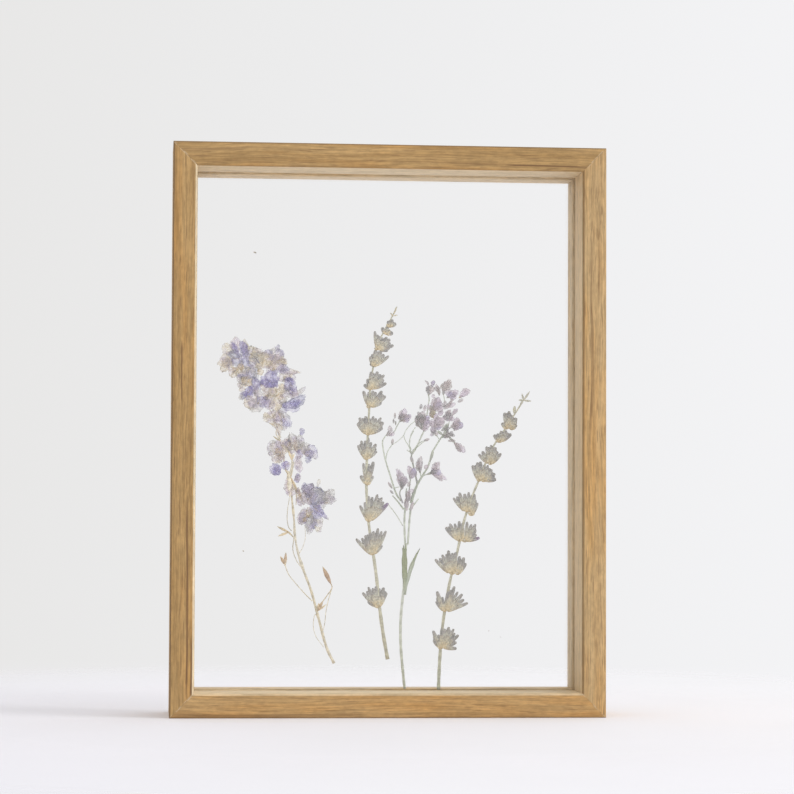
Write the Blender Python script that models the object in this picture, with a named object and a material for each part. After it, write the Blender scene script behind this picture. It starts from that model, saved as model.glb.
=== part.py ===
"""Pressed flower frame: four pressed sprigs held between two panes of glass.

The frame is a mitred wooden box moulding, deep enough to stand by itself. Its
lip stands in front of the glass, a rebate behind the lip takes the two panes,
and thin wooden fillets pinned in from the back hold them there. The plants are
dried flat and lie in the narrow gap between the panes.

The row frame: +X to the right seen from the front, -Y is the front, +Z is up.
The origin is at the middle of the footprint, on the surface it stands on.
Every length below is in millimetres.
"""
import math

import bmesh
import bpy
from mathutils import Matrix, Vector

MM = 0.001

# Frame
OUTER_WIDTH = 198.0
OUTER_HEIGHT = 260.0
FRAME_DEPTH = 38.0
FACE_WIDTH = 11.0
LIP_DEPTH = 20.5
REBATE_WALL = 7.8
ARRIS_WIDTH = 0.45
JOINT_GAP = 0.3

# Glass and fillets
PANE_THICKNESS = 1.6
SPECIMEN_GAP = 1.4
GLASS_COVER = 2.5
GLASS_CLEARANCE = 0.3
PANE_EDGE_CHAMFER = 0.2
FILLET_INSET = 0.5
FILLET_PROUD = 0.6

# Plants, pressed flat: stems lie at the back of the gap, flowers in front
STEM_THICKNESS = 0.35
FLOWER_THICKNESS = 0.5
GLASS_AIR = 0.1

# Where things lie from front to back
FRONT_FACE = -FRAME_DEPTH / 2
BACK_FACE = FRAME_DEPTH / 2
LIP_BACK = FRONT_FACE + LIP_DEPTH
FRONT_PANE_Y = LIP_BACK + GLASS_CLEARANCE
SPECIMEN_Y = FRONT_PANE_Y + PANE_THICKNESS
REAR_PANE_Y = SPECIMEN_Y + SPECIMEN_GAP
FILLET_Y = REAR_PANE_Y + PANE_THICKNESS + GLASS_CLEARANCE
FLOWER_Y = SPECIMEN_Y + GLASS_AIR
STEM_Y = REAR_PANE_Y - GLASS_AIR - STEM_THICKNESS


def make_material(name, colour, roughness):
    """A plain Principled material in one colour."""
    material = bpy.data.materials.new(name)
    material.use_nodes = True
    shader = material.node_tree.nodes["Principled BSDF"]
    shader.inputs["Base Color"].default_value = (*colour, 1.0)
    shader.inputs["Roughness"].default_value = roughness
    shader.inputs["Metallic"].default_value = 0.0
    return material


def add_object(name, bm, material):
    """Close a bmesh into an object in metres, with its faces pointing out."""
    bmesh.ops.remove_doubles(bm, verts=bm.verts, dist=0.001)
    bmesh.ops.scale(bm, vec=(MM, MM, MM), verts=bm.verts)
    bmesh.ops.recalc_face_normals(bm, faces=bm.faces)
    bmesh.ops.triangulate(bm, faces=bm.faces, ngon_method="EAR_CLIP")
    mesh = bpy.data.meshes.new(name)
    bm.to_mesh(mesh)
    bm.free()
    mesh.materials.append(material)
    obj = bpy.data.objects.new(name, mesh)
    bpy.context.collection.objects.link(obj)
    return obj


def saw(bm, point, normal):
    """Cut away what lies beyond a plane and close the cut."""
    geometry = bm.verts[:] + bm.edges[:] + bm.faces[:]
    cut = bmesh.ops.bisect_plane(bm, geom=geometry, plane_co=point, plane_no=normal, clear_outer=True)
    rim = [edge for edge in cut["geom_cut"] if isinstance(edge, bmesh.types.BMEdge)]
    bmesh.ops.contextual_create(bm, geom=rim)


def mitred_strip(name, section, length, material, place):
    """A strip along X with a 45 degree mitre at both ends, then set in place.

    The section is a list of (inward, y) points, where inward is the distance
    from the frame's outer edge. The strip lies along the bottom of the frame.
    """
    bm = bmesh.new()
    start = [bm.verts.new((-length / 2, y, inward)) for inward, y in section]
    end_face = bm.faces.new(start)
    grown = bmesh.ops.extrude_face_region(bm, geom=[end_face])
    moved = [item for item in grown["geom"] if isinstance(item, bmesh.types.BMVert)]
    bmesh.ops.translate(bm, verts=moved, vec=(length, 0, 0))
    long_edges = [edge for edge in bm.edges if edge.calc_length() > length / 2]
    bmesh.ops.bevel(bm, geom=long_edges, offset=ARRIS_WIDTH, affect="EDGES", segments=2, profile=0.5,
                    material=-1)
    trim = JOINT_GAP / 2 * math.sqrt(2)
    saw(bm, Vector((length / 2 - trim, 0, 0)), Vector((1, 0, 1)))
    saw(bm, Vector((-length / 2 + trim, 0, 0)), Vector((-1, 0, 1)))
    bmesh.ops.transform(bm, matrix=place, verts=bm.verts)
    return add_object(name, bm, material)


def mitred_set(prefix_rail, prefix_stile, section, material):
    """Top and bottom rails and two side stiles from one section."""
    half_width = OUTER_WIDTH / 2
    middle = Vector((0, 0, OUTER_HEIGHT / 2))
    half_turn = Matrix.Translation(middle) @ Matrix.Rotation(math.pi, 4, "Y") @ Matrix.Translation(-middle)
    quarter = Matrix.Rotation(-math.pi / 2, 4, "Y")
    right = Matrix.Translation((half_width, 0, OUTER_HEIGHT / 2)) @ quarter
    left = half_turn @ right
    mitred_strip(prefix_rail + "_bottom", section, OUTER_WIDTH, material, Matrix.Identity(4))
    mitred_strip(prefix_rail + "_top", section, OUTER_WIDTH, material, half_turn)
    mitred_strip(prefix_stile + "_right", section, OUTER_HEIGHT, material, right)
    mitred_strip(prefix_stile + "_left", section, OUTER_HEIGHT, material, left)


def pane(name, front_y, material):
    """A sheet of glass with seamed edges."""
    edge = FACE_WIDTH - GLASS_COVER
    size = (OUTER_WIDTH - 2 * edge, PANE_THICKNESS, OUTER_HEIGHT - 2 * edge)
    bm = bmesh.new()
    bmesh.ops.create_cube(bm, size=1)
    bmesh.ops.scale(bm, vec=size, verts=bm.verts)
    bmesh.ops.translate(bm, verts=bm.verts, vec=(0, front_y + PANE_THICKNESS / 2, OUTER_HEIGHT / 2))
    bmesh.ops.bevel(bm, geom=bm.edges[:], offset=PANE_EDGE_CHAMFER, affect="EDGES", segments=1, profile=0.5,
                    material=-1)
    return add_object(name, bm, material)


def stem(name, path, widths, material, depth=STEM_Y, thickness=STEM_THICKNESS):
    """A flattened stalk through (x, z) points, its width running from first to last."""
    points = [Vector((x, depth + thickness / 2, z)) for x, z in path]
    first_width, last_width = widths
    bm = bmesh.new()
    rim_before = None
    for index, point in enumerate(points):
        before = points[max(index - 1, 0)]
        after = points[min(index + 1, len(points) - 1)]
        along = (after - before).normalized()
        across = along.cross(Vector((0, 1, 0)))
        share = index / (len(points) - 1)
        half_width = (first_width + (last_width - first_width) * share) / 2
        turn = Matrix((across, Vector((0, 1, 0)), along)).transposed().to_4x4()
        place = Matrix.Translation(point) @ turn @ Matrix.Diagonal((half_width, thickness / 2, 1, 1))
        is_end = index in (0, len(points) - 1)
        ring = bmesh.ops.create_circle(bm, cap_ends=is_end, segments=6, radius=1, matrix=place)
        rim = list({edge for vert in ring["verts"] for edge in vert.link_edges})
        if rim_before:
            bmesh.ops.bridge_loops(bm, edges=rim_before + rim)
        rim_before = rim
    return add_object(name, bm, material)


def pressed_plate(name, outline, material, depth=FLOWER_Y, thickness=FLOWER_THICKNESS):
    """A pressed flower or leaf as a thin plate with the given (x, z) outline."""
    bm = bmesh.new()
    front = bm.faces.new([bm.verts.new((x, depth, z)) for x, z in outline])
    grown = bmesh.ops.extrude_face_region(bm, geom=[front])
    moved = [item for item in grown["geom"] if isinstance(item, bmesh.types.BMVert)]
    bmesh.ops.translate(bm, verts=moved, vec=(0, thickness, 0))
    return add_object(name, bm, material)


def whorl(name, base_x, base_z, left, right, height, material):
    """A ring of lavender calyces pressed to a fan: seven pointed tips over one base."""
    tip_count = 7
    notch = 0.72
    outline = [(base_x + 0.6, base_z), (base_x - 0.6, base_z)]
    for index in range(2 * tip_count - 1):
        side = index / (tip_count - 1) - 1
        reach = 1.0 if index % 2 == 0 else notch
        spread = left if side < 0 else right
        rise = height * (1 - 0.55 * abs(side) ** 1.8)
        outline.append((base_x + spread * side * reach, base_z + rise * reach))
    return pressed_plate(name, outline, material)


for leftover in list(bpy.data.objects):
    bpy.data.objects.remove(leftover)

oak = make_material("oak", (0.44, 0.26, 0.12), 0.5)
glass = make_material("glass", (0.92, 0.95, 0.94), 0.05)
straw_stem = make_material("straw_stem", (0.56, 0.44, 0.26), 0.8)
green_stem = make_material("green_stem", (0.32, 0.34, 0.20), 0.8)
violet_petal = make_material("violet_petal", (0.42, 0.38, 0.56), 0.8)
lavender_calyx = make_material("lavender_calyx", (0.33, 0.31, 0.33), 0.85)
lilac_petal = make_material("lilac_petal", (0.52, 0.42, 0.50), 0.8)

# The wooden moulding: a lip in front, a rebate behind it
moulding_section = [
    (0.0, FRONT_FACE),
    (FACE_WIDTH, FRONT_FACE),
    (FACE_WIDTH, LIP_BACK),
    (REBATE_WALL, LIP_BACK),
    (REBATE_WALL, BACK_FACE),
    (0.0, BACK_FACE),
]
mitred_set("rail", "stile", moulding_section, oak)

# Fillets pinned into the rebate behind the glass, standing just proud of the lip
fillet_section = [
    (REBATE_WALL + JOINT_GAP, FILLET_Y),
    (FACE_WIDTH + FILLET_PROUD, FILLET_Y),
    (FACE_WIDTH + FILLET_PROUD, BACK_FACE - FILLET_INSET),
    (REBATE_WALL + JOINT_GAP, BACK_FACE - FILLET_INSET),
]
mitred_set("fillet", "fillet", fillet_section, oak)

pane("pane_front", FRONT_PANE_Y, glass)
pane("pane_rear", REAR_PANE_Y, glass)

# Larkspur, at the left: a straw-coloured stalk that leans left under its flowers
stem("larkspur_stem",
     [(-23.3, 23.3), (-27, 31), (-30.8, 44.8), (-34, 56.3), (-37.6, 65.9), (-40.2, 73.9),
      (-41.7, 82), (-42.1, 89), (-43.1, 98.1), (-43.9, 107.1), (-46.2, 113.1), (-48.7, 125.2),
      (-52.7, 138.3), (-56.7, 149.3), (-61.7, 157.4), (-67.7, 164.4)],
     (1.5, 0.7), straw_stem)
stem("larkspur_branch_left",
     [(-34.8, 53), (-37.6, 55.8), (-40.6, 59.1), (-44.3, 63.7), (-46.1, 67.9), (-46.7, 70.9),
      (-45.7, 73.9)],
     (0.6, 0.5), straw_stem)
stem("larkspur_branch_right",
     [(-30.2, 48.6), (-28.6, 51.3), (-26.6, 54.5), (-24.5, 58.1), (-25.3, 60.9), (-26.9, 63.9),
      (-28.6, 67.4)],
     (0.6, 0.9), straw_stem)
stem("larkspur_bract",
     [(-43.1, 80.9), (-44.7, 82.8), (-46.2, 83.7), (-49, 85.6)],
     (0.8, 0.4), straw_stem)
pressed_plate("larkspur_floret_crown",
              [(-69.2, 173.6), (-65.7, 170.4), (-64.1, 165.9), (-64.1, 160.4), (-66.2, 158.4),
               (-69.5, 156.7), (-72.2, 154.5), (-72.9, 156.8), (-76.4, 157.1), (-78.1, 160.4),
               (-76.1, 162.8), (-76.5, 169.7), (-73.9, 170.1), (-71.5, 167.4)], violet_petal)
pressed_plate("larkspur_floret_cream",
              [(-63.6, 167.2), (-61.7, 168), (-57.7, 167.4), (-55.6, 166.8), (-54.1, 160.4),
               (-57.1, 160.4), (-59.7, 158.6), (-63.6, 158.6)], violet_petal)
pressed_plate("larkspur_floret_spur",
              [(-55.1, 167.2), (-49.9, 170), (-48, 164.4), (-46, 161.4), (-45.7, 159.4),
               (-40.3, 157.4), (-45.4, 156.8), (-49.7, 157.6), (-52.7, 158.4),
               (-53.8, 160.4)], violet_petal)
pressed_plate("larkspur_floret_middle",
              [(-69.2, 156), (-65.5, 158.2), (-59.7, 158.1), (-54.7, 157.4), (-50.7, 156),
               (-47.7, 156), (-42.2, 154.3), (-41.2, 149.5), (-37.3, 150.7), (-39.6, 148.1),
               (-37, 146.3), (-39.9, 140.8), (-43.4, 138.9), (-52.7, 138.9), (-58.9, 140),
               (-63, 138.7), (-66.2, 141.5), (-64.3, 143.5), (-67.8, 144.7), (-65.2, 147.9),
               (-68.4, 148.5)],
              violet_petal)
pressed_plate("larkspur_floret_fading",
              [(-56.7, 138.1), (-50.7, 138.3), (-44.9, 137.9), (-43.5, 132.5), (-46.2, 132.1),
               (-50, 131.2), (-52.5, 132.7), (-56.3, 134.9)], violet_petal)
pressed_plate("larkspur_floret_side_left",
              [(-54.3, 125.5), (-51.8, 127.6), (-48.7, 124.8), (-46.2, 120.2), (-44.6, 115.1),
               (-45.4, 113.2), (-48.6, 113.2), (-49.6, 110), (-51.4, 109.1), (-53.3, 110.3),
               (-53.5, 112.4), (-51.3, 114), (-51.1, 115.2), (-54.9, 119.9)], violet_petal)
pressed_plate("larkspur_floret_side_right",
              [(-40.6, 130.5), (-38.2, 131.8), (-38.4, 126.6), (-32, 122.8), (-33, 118.2),
               (-35.5, 115.3), (-38.3, 111.1), (-41.2, 111.8), (-41.9, 120), (-44.4, 124.5),
               (-44.8, 129.4)], violet_petal)
pressed_plate("larkspur_floret_low",
              [(-39.2, 99.6), (-38.4, 104.1), (-37.5, 105.8), (-35.1, 107.4), (-33.3, 105.2),
               (-30.5, 108), (-29.1, 103.8), (-23.8, 102.9), (-22.5, 98.5), (-28.3, 94.2),
               (-26.2, 89.3), (-30.1, 90.4), (-33.8, 95.2), (-37.8, 95.2)], violet_petal)
pressed_plate("larkspur_floret_shade",
              [(-40.4, 92.7), (-37.5, 93.8), (-34.2, 93.5), (-31.8, 90.2), (-29.7, 88.2),
               (-31.4, 85.7), (-29.7, 83.6), (-34.6, 82.4), (-36, 85.7), (-38.8, 86.3),
               (-40.9, 89.2)], violet_petal)

# Tall lavender, left of the middle
stem("lavender_tall_stem",
     [(1.3, 25), (-0.7, 36.7), (-2.5, 49.4), (-3.7, 60.9), (-5.5, 73.9), (-7.8, 89), (-8.8, 105.1),
      (-8.5, 120.2), (-8.1, 131.7), (-7.6, 141.3), (-7.2, 150.8), (-5.8, 160.4), (-4, 169.4),
      (-1.2, 176), (2.9, 183.5), (4.8, 187.7)],
     (1.4, 0.6), green_stem)
tall_whorls = [
    (2.7, 180.1, 3.0, 2.6, 5.6), (-0.1, 176.4, 2.7, 4.0, 3.5), (-4, 167.7, 2.4, 7.6, 8.4),
    (-6.1, 160.2, 1.7, 7.2, 7.3), (-7.4, 150.3, 3.0, 7.2, 7.9), (-7.5, 140.9, 3.0, 7.6, 8.9),
    (-8.4, 128.8, 5.0, 7.3, 8.9), (-8.5, 117.4, 4.2, 4.6, 10.2), (-8.8, 105.7, 2.5, 4.2, 10.5),
    (-7.9, 88.7, 3.8, 9.2, 12.4), (-5.9, 73.7, 7.6, 6.5, 11.5), (-3.1, 49.1, 7.3, 4.3, 9.6),
]
for number, (base_x, base_z, left, right, height) in enumerate(tall_whorls, start=1):
    whorl(f"lavender_tall_whorl_{number}", base_x, base_z, left, right, height, lavender_calyx)

# Pink spray, right of the middle: one green stalk with two leaves and three branches
stem("spray_stem",
     [(9.5, 11.6), (8.7, 17.6), (7.7, 27.7), (7.2, 37.7), (7.3, 44.8), (8.2, 51.8), (8.7, 59.9),
      (9, 69.9), (9.1, 79), (9.2, 88), (9.3, 98.1)],
     (1.3, 0.7), green_stem)
pressed_plate("spray_leaf_broad",
              [(8.1, 56.8), (9.1, 56.8), (10.1, 61.9), (10.3, 78.6), (8.1, 79.3), (7.7, 69.9),
               (7.6, 61.9)],
              green_stem)
stem("spray_leaf_narrow",
     [(10.4, 60.1), (12.1, 63.9), (13.5, 68.9), (14.3, 72.4), (15.5, 75.9)],
     (0.8, 0.5), green_stem)
stem("spray_branch_left",
     [(4.9, 101), (3.1, 106.1), (1.4, 111.1), (-0.4, 116.6), (-1.3, 122.2), (-0.7, 126.2), (1.9, 130.2)],
     (0.7, 0.5), green_stem)
stem("spray_branch_middle",
     [(11.7, 95), (13.3, 102.1), (14.4, 106.1), (13.5, 111.1), (12.1, 117.2), (12.3, 120.2),
      (13.9, 122.2), (16.5, 128.2), (18.1, 131.8)],
     (0.7, 0.6), green_stem)
stem("spray_branch_right",
     [(14.5, 103.6), (16.7, 109.1), (19.7, 114.3), (21.5, 120.2), (25.1, 126.2), (27.4, 129.2)],
     (0.8, 0.6), green_stem)
pressed_plate("spray_flower_left",
              [(3.2, 138.7), (8.3, 140.8), (10.1, 140.5), (12.2, 138), (10.8, 134.7), (7.3, 134.7),
               (5.7, 133.4), (3.9, 129.7), (0.5, 128.2), (1.3, 132.8), (2.9, 133.6)], lilac_petal)
pressed_plate("spray_flower_crown",
              [(15.9, 142.7), (18.1, 142.7), (20.2, 139.3), (20.6, 132.2), (16.5, 131.5),
               (14, 133.6), (14.9, 139.3)], lilac_petal)
pressed_plate("spray_flower_top",
              [(17.9, 154.3), (22.2, 153.6), (24.8, 149.9), (25.6, 152.3), (29.1, 154.1),
               (30.9, 153.2), (29.8, 149.7), (34.1, 148.5), (39.4, 149.1), (37.6, 145.9),
               (34.4, 143.7), (30.9, 142.5), (27.6, 139.3), (24.1, 138.9), (21.9, 136.5),
               (20.9, 138.9), (21.4, 142.3), (20.1, 145.8), (18.7, 149.7)], lilac_petal)
pressed_plate("spray_flower_right",
              [(24.6, 137.9), (26.6, 138.3), (29.8, 140.1), (33.3, 140.5), (31.4, 137.3),
               (33.3, 136.7), (35.5, 134), (32.3, 130.1), (32.6, 125.5), (36.5, 122.3),
               (36.2, 120.2), (33.7, 120.9), (31.2, 124.8), (26.2, 126.9), (25, 129.6), (21, 128.7),
               (21.1, 131.9), (21.5, 135)], lilac_petal)
pressed_plate("spray_flower_low",
              [(0.9, 107), (2.8, 104.7), (5.1, 108.1), (4.1, 113.3), (6.2, 113), (8, 110.1),
               (10.8, 114.8), (11.5, 118), (13.2, 115.8), (15.8, 118.8), (17.9, 115.5),
               (19.7, 114.1), (17.2, 111.6), (14.4, 110.1), (12.6, 108), (12.6, 103.1),
               (10.1, 101.6), (2.9, 101.3)], lilac_petal)
pressed_plate("spray_flower_trumpet",
              [(20.1, 110.7), (21.3, 111.7), (24.8, 116.5), (26.2, 114.1), (25.5, 111.2),
               (28.4, 108), (27.3, 107.8), (24.8, 109.8)], lilac_petal)

# Short lavender, at the right, leaning right
stem("lavender_short_stem",
     [(25, 11.2), (25.3, 19.6), (25.9, 30.4), (27.2, 43.4), (30, 60.1), (33.6, 74.9), (36.4, 88),
      (38.6, 95), (41.1, 102.1), (44.1, 109.1), (46.6, 115.8), (50.6, 124.2), (55.1, 130.7),
      (59.7, 137.9), (63, 142.7)],
     (1.3, 0.6), green_stem)
short_whorls = [
    (57.9, 131.8, 4.0, 3.5, 8.4), (53.2, 125.2, 2.8, 5.2, 6.0), (48.8, 115.9, 5.6, 4.9, 8.6),
    (44, 106.8, 4.0, 7.8, 8.6), (38.6, 91.6, 6.9, 4.9, 10.6), (35.6, 79.5, 7.6, 8.4, 9.7),
    (32.2, 64.7, 8.8, 5.3, 11.0), (27.9, 45.8, 4.0, 11.1, 13.2), (26, 30.1, 3.8, 8.8, 10.1),
]
for number, (base_x, base_z, left, right, height) in enumerate(short_whorls, start=1):
    whorl(f"lavender_short_whorl_{number}", base_x, base_z, left, right, height, lavender_calyx)
pressed_plate("lavender_short_tip",
              [(62.6, 142.9), (64.2, 144.7), (67.2, 144.9), (65, 146.3), (67.5, 149.7),
               (64.2, 147.3), (62.2, 149.3), (62.8, 146.3), (61, 145.1),
               (62.7, 144.9)], lavender_calyx)
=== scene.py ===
import math
import random

import bmesh
import bpy
from mathutils import Matrix, Vector


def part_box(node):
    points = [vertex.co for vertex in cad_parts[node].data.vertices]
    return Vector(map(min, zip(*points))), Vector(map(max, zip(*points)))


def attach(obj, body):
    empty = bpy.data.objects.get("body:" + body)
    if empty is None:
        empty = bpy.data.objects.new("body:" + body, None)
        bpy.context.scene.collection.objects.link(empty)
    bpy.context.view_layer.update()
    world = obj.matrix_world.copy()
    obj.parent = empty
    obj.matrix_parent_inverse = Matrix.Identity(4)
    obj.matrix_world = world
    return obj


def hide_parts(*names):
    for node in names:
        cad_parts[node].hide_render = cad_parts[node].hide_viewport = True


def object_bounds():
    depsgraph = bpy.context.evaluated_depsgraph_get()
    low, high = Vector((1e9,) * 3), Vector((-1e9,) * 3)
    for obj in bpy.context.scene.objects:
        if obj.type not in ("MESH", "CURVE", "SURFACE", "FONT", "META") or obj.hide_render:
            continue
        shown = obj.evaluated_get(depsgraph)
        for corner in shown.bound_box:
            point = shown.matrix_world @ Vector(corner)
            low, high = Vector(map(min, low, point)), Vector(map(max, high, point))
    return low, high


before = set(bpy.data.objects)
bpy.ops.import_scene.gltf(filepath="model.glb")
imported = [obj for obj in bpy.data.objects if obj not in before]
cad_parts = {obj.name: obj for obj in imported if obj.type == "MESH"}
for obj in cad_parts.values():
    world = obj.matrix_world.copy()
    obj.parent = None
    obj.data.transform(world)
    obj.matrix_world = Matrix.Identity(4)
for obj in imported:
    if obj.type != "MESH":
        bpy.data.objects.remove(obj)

cad_low, cad_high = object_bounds()
MM = 0.001

# ---------------------------------------------------------------------------
# The studio: the camera stands a little left of the frame and looks slightly
# up at it, as a person kneeling at a table would. A white cloth fades out
# behind the frame, and soft daylight comes from the right into a white room.
# ---------------------------------------------------------------------------
scene = bpy.context.scene
scene.view_settings.view_transform = "Standard"
scene.cycles.transparent_max_bounces = 64

camera_data = bpy.data.cameras.new("camera")
camera_data.sensor_width = 36.0
camera_data.lens = 109.8
camera_data.shift_x = 0.06
camera_data.shift_y = 0.03
camera_data.clip_start = 0.05
camera_data.clip_end = 20.0
camera = bpy.data.objects.new("camera", camera_data)
scene.collection.objects.link(camera)
camera_place = Matrix.Translation((-0.1078, -1.1098, 0.0899))
camera_turn = Matrix.Rotation(math.radians(-4.67), 4, "Z")
camera_tilt = Matrix.Rotation(math.radians(90 + 2.305), 4, "X")
camera_roll = Matrix.Rotation(math.radians(0.285), 4, "Z")
camera.matrix_world = camera_place @ camera_turn @ camera_tilt @ camera_roll
scene.camera = camera


def new_material(name):
    """An empty node material: itself, its node tree and its output."""
    material = bpy.data.materials.new(name)
    material.use_nodes = True
    tree = material.node_tree
    tree.nodes.clear()
    output = tree.nodes.new("ShaderNodeOutputMaterial")
    return material, tree, output


def add_node(tree, kind, **settings):
    """A node of the given kind; settings name its properties."""
    node = tree.nodes.new("ShaderNode" + kind)
    for key, value in settings.items():
        setattr(node, key, value)
    return node


def feed(tree, socket, value):
    """Give a socket another node's output, a number, a triple or a colour."""
    if isinstance(value, bpy.types.NodeSocket):
        tree.links.new(value, socket)
    elif isinstance(value, tuple) and socket.type == "RGBA":
        socket.default_value = (*value, 1.0)
    else:
        socket.default_value = value


def calc(tree, kind, operation, *values):
    """The result of a Math or VectorMath node."""
    node = add_node(tree, kind, operation=operation)
    for socket, value in zip(node.inputs, values):
        feed(tree, socket, value)
    return node.outputs[0]


def between(tree, value, start, end):
    """0 where the value is start, 1 where it is end."""
    node = add_node(tree, "MapRange")
    node.inputs["From Min"].default_value = start
    node.inputs["From Max"].default_value = end
    tree.links.new(value, node.inputs["Value"])
    return node.outputs["Result"]


def clouds(tree, where, scale, detail, roughness=0.5):
    """A noise texture read at a place."""
    node = add_node(tree, "TexNoise")
    node.inputs["Scale"].default_value = scale
    node.inputs["Detail"].default_value = detail
    node.inputs["Roughness"].default_value = roughness
    tree.links.new(where, node.inputs["Vector"])
    return node


def ramp(tree, source, *stops):
    """A colour ramp read from source; stops are (position, colour or grey level) pairs."""
    node = add_node(tree, "ValToRGB")
    elements = node.color_ramp.elements
    while len(elements) < len(stops):
        elements.new(0.5)
    for element, (position, colour) in zip(elements, stops):
        element.position = position
        element.color = (*colour, 1.0) if isinstance(colour, tuple) else (colour, colour, colour, 1.0)
    tree.links.new(source, node.inputs["Fac"])
    return node.outputs["Color"]


def mix(tree, factor, first, second, blend="MIX"):
    """Blend two colours."""
    node = add_node(tree, "Mix", data_type="RGBA", blend_type=blend)
    for socket, value in ((node.inputs[0], factor), (node.inputs[6], first), (node.inputs[7], second)):
        feed(tree, socket, value)
    return node.outputs[2]


def times(tree, first, *others):
    """Multiply colours."""
    for other in others:
        first = mix(tree, 1.0, first, other, "MULTIPLY")
    return first


def build_room():
    """White room light, a shade brighter to the right and below."""
    world = bpy.data.worlds.new("room")
    scene.world = world
    world.use_nodes = True
    tree = world.node_tree
    tree.nodes.clear()
    output = tree.nodes.new("ShaderNodeOutputWorld")
    background = add_node(tree, "Background")
    background.inputs["Strength"].default_value = 1.0
    direction = add_node(tree, "TexCoord")
    parts = add_node(tree, "SeparateXYZ")
    tree.links.new(direction.outputs["Generated"], parts.inputs[0])
    across = between(tree, parts.outputs["X"], -0.1, 0.3)
    wall = ramp(tree, across, (0.1, (0.81, 0.805, 0.80)), (0.5, (0.85, 0.85, 0.855)),
                (0.95, (0.905, 0.905, 0.92)))
    cloth = ramp(tree, across, (0.1, (0.865, 0.855, 0.90)), (0.5, (0.90, 0.90, 0.93)),
                 (0.95, (0.935, 0.925, 0.965)))
    below = between(tree, parts.outputs["Z"], -0.058, -0.085)
    tree.links.new(mix(tree, below, wall, cloth), background.inputs["Color"])
    tree.links.new(background.outputs[0], output.inputs["Surface"])


def build_table():
    """A white table cloth that fades into the room's light behind the frame."""
    bm = bmesh.new()
    bmesh.ops.create_circle(bm, cap_ends=True, segments=96, radius=0.6)
    mesh = bpy.data.meshes.new("table")
    bm.to_mesh(mesh)
    bm.free()
    table = bpy.data.objects.new("table", mesh)
    scene.collection.objects.link(table)
    material, tree, output = new_material("table_cloth")
    shader = add_node(tree, "BsdfPrincipled")
    shader.inputs["Roughness"].default_value = 0.9
    place = add_node(tree, "TexCoord").outputs["Object"]
    weave = ramp(tree, clouds(tree, place, 9.0, 2.0).outputs["Fac"], (0.3, (0.97, 0.97, 0.975)),
                 (0.7, (0.99, 0.99, 1.0)))
    parts = add_node(tree, "SeparateXYZ")
    tree.links.new(place, parts.inputs[0])
    # Painted light: the cloth is coloured paler towards the right, standing in for the daylight from that
    # side.
    painted_light_to_right = ramp(tree, between(tree, parts.outputs["X"], -0.2, 0.25), (0.0, (0.91, 0.90, 0.94)),
                  (1.0, (0.995, 0.985, 1.0)))
    tree.links.new(times(tree, weave, painted_light_to_right), shader.inputs["Base Color"])
    from_middle = add_node(tree, "VectorMath", operation="LENGTH")
    tree.links.new(place, from_middle.inputs[0])
    clear = add_node(tree, "BsdfTransparent")
    blend = add_node(tree, "MixShader")
    tree.links.new(between(tree, from_middle.outputs["Value"], 0.20, 0.38), blend.inputs[0])
    tree.links.new(shader.outputs[0], blend.inputs[1])
    tree.links.new(clear.outputs[0], blend.inputs[2])
    tree.links.new(blend.outputs[0], output.inputs["Surface"])
    mesh.materials.append(material)


def add_daylight():
    """Soft daylight from the right, a little in front of the frame."""
    light = bpy.data.lights.new("daylight", "SUN")
    light.energy = 0.95
    light.angle = math.radians(28)
    lamp = bpy.data.objects.new("daylight", light)
    scene.collection.objects.link(lamp)
    towards_frame = Vector((-1.0, 0.35, -0.55))
    lamp.matrix_world = towards_frame.to_track_quat("-Z", "Y").to_matrix().to_4x4()


build_room()
build_table()
add_daylight()

# ---------------------------------------------------------------------------
# The moulding: four lengths of pale oak, milled to an L with the rebate behind
# the lip, mitred at the corners and glued. Its arrises are sanded and waxed, and
# their colour also paints the daylight from the right: a painted highlight where
# they face the light, painted shade where they face away. The lip's inside is
# painted paler as sheen and bounce light.
# ---------------------------------------------------------------------------
outer_low, outer_high = cad_low, cad_high
outer_width = outer_high.x - outer_low.x
outer_height = outer_high.z - outer_low.z
face_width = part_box("rail_bottom")[1].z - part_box("rail_bottom")[0].z
lip_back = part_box("pane_front")[0].y - 0.3 * MM
rebate_wall = 7.8 * MM
inner_arris = 0.9 * MM
outer_arris = 0.6 * MM
lip_arris = 0.15 * MM
glue_line = 0.04 * MM
glue_squeeze = 0.7 * MM
hair = 0.05 * MM
oak_light = (0.55, 0.345, 0.138)
oak_mid = (0.43, 0.255, 0.09)
oak_vein = (0.20, 0.105, 0.040)
# Pale bare wood. It also serves as a painted highlight on the inner arrises, and as painted sheen and bounce
# light on the lip's inside and the rebate.
oak_raw_and_highlight = (0.84, 0.68, 0.44)
oak_glue = (0.72, 0.56, 0.36)
# Dark waxed wood. It also serves as painted shade on arrises that face away from the daylight.
oak_wax_and_shade = (0.20, 0.12, 0.05)


def raise_grain(tree, shader, height, strength, distance):
    """Raise a shader's surface by a height."""
    bump = add_node(tree, "Bump")
    bump.inputs["Strength"].default_value = strength
    bump.inputs["Distance"].default_value = distance
    tree.links.new(height, bump.inputs["Height"])
    tree.links.new(bump.outputs["Normal"], shader.inputs["Normal"])


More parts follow.
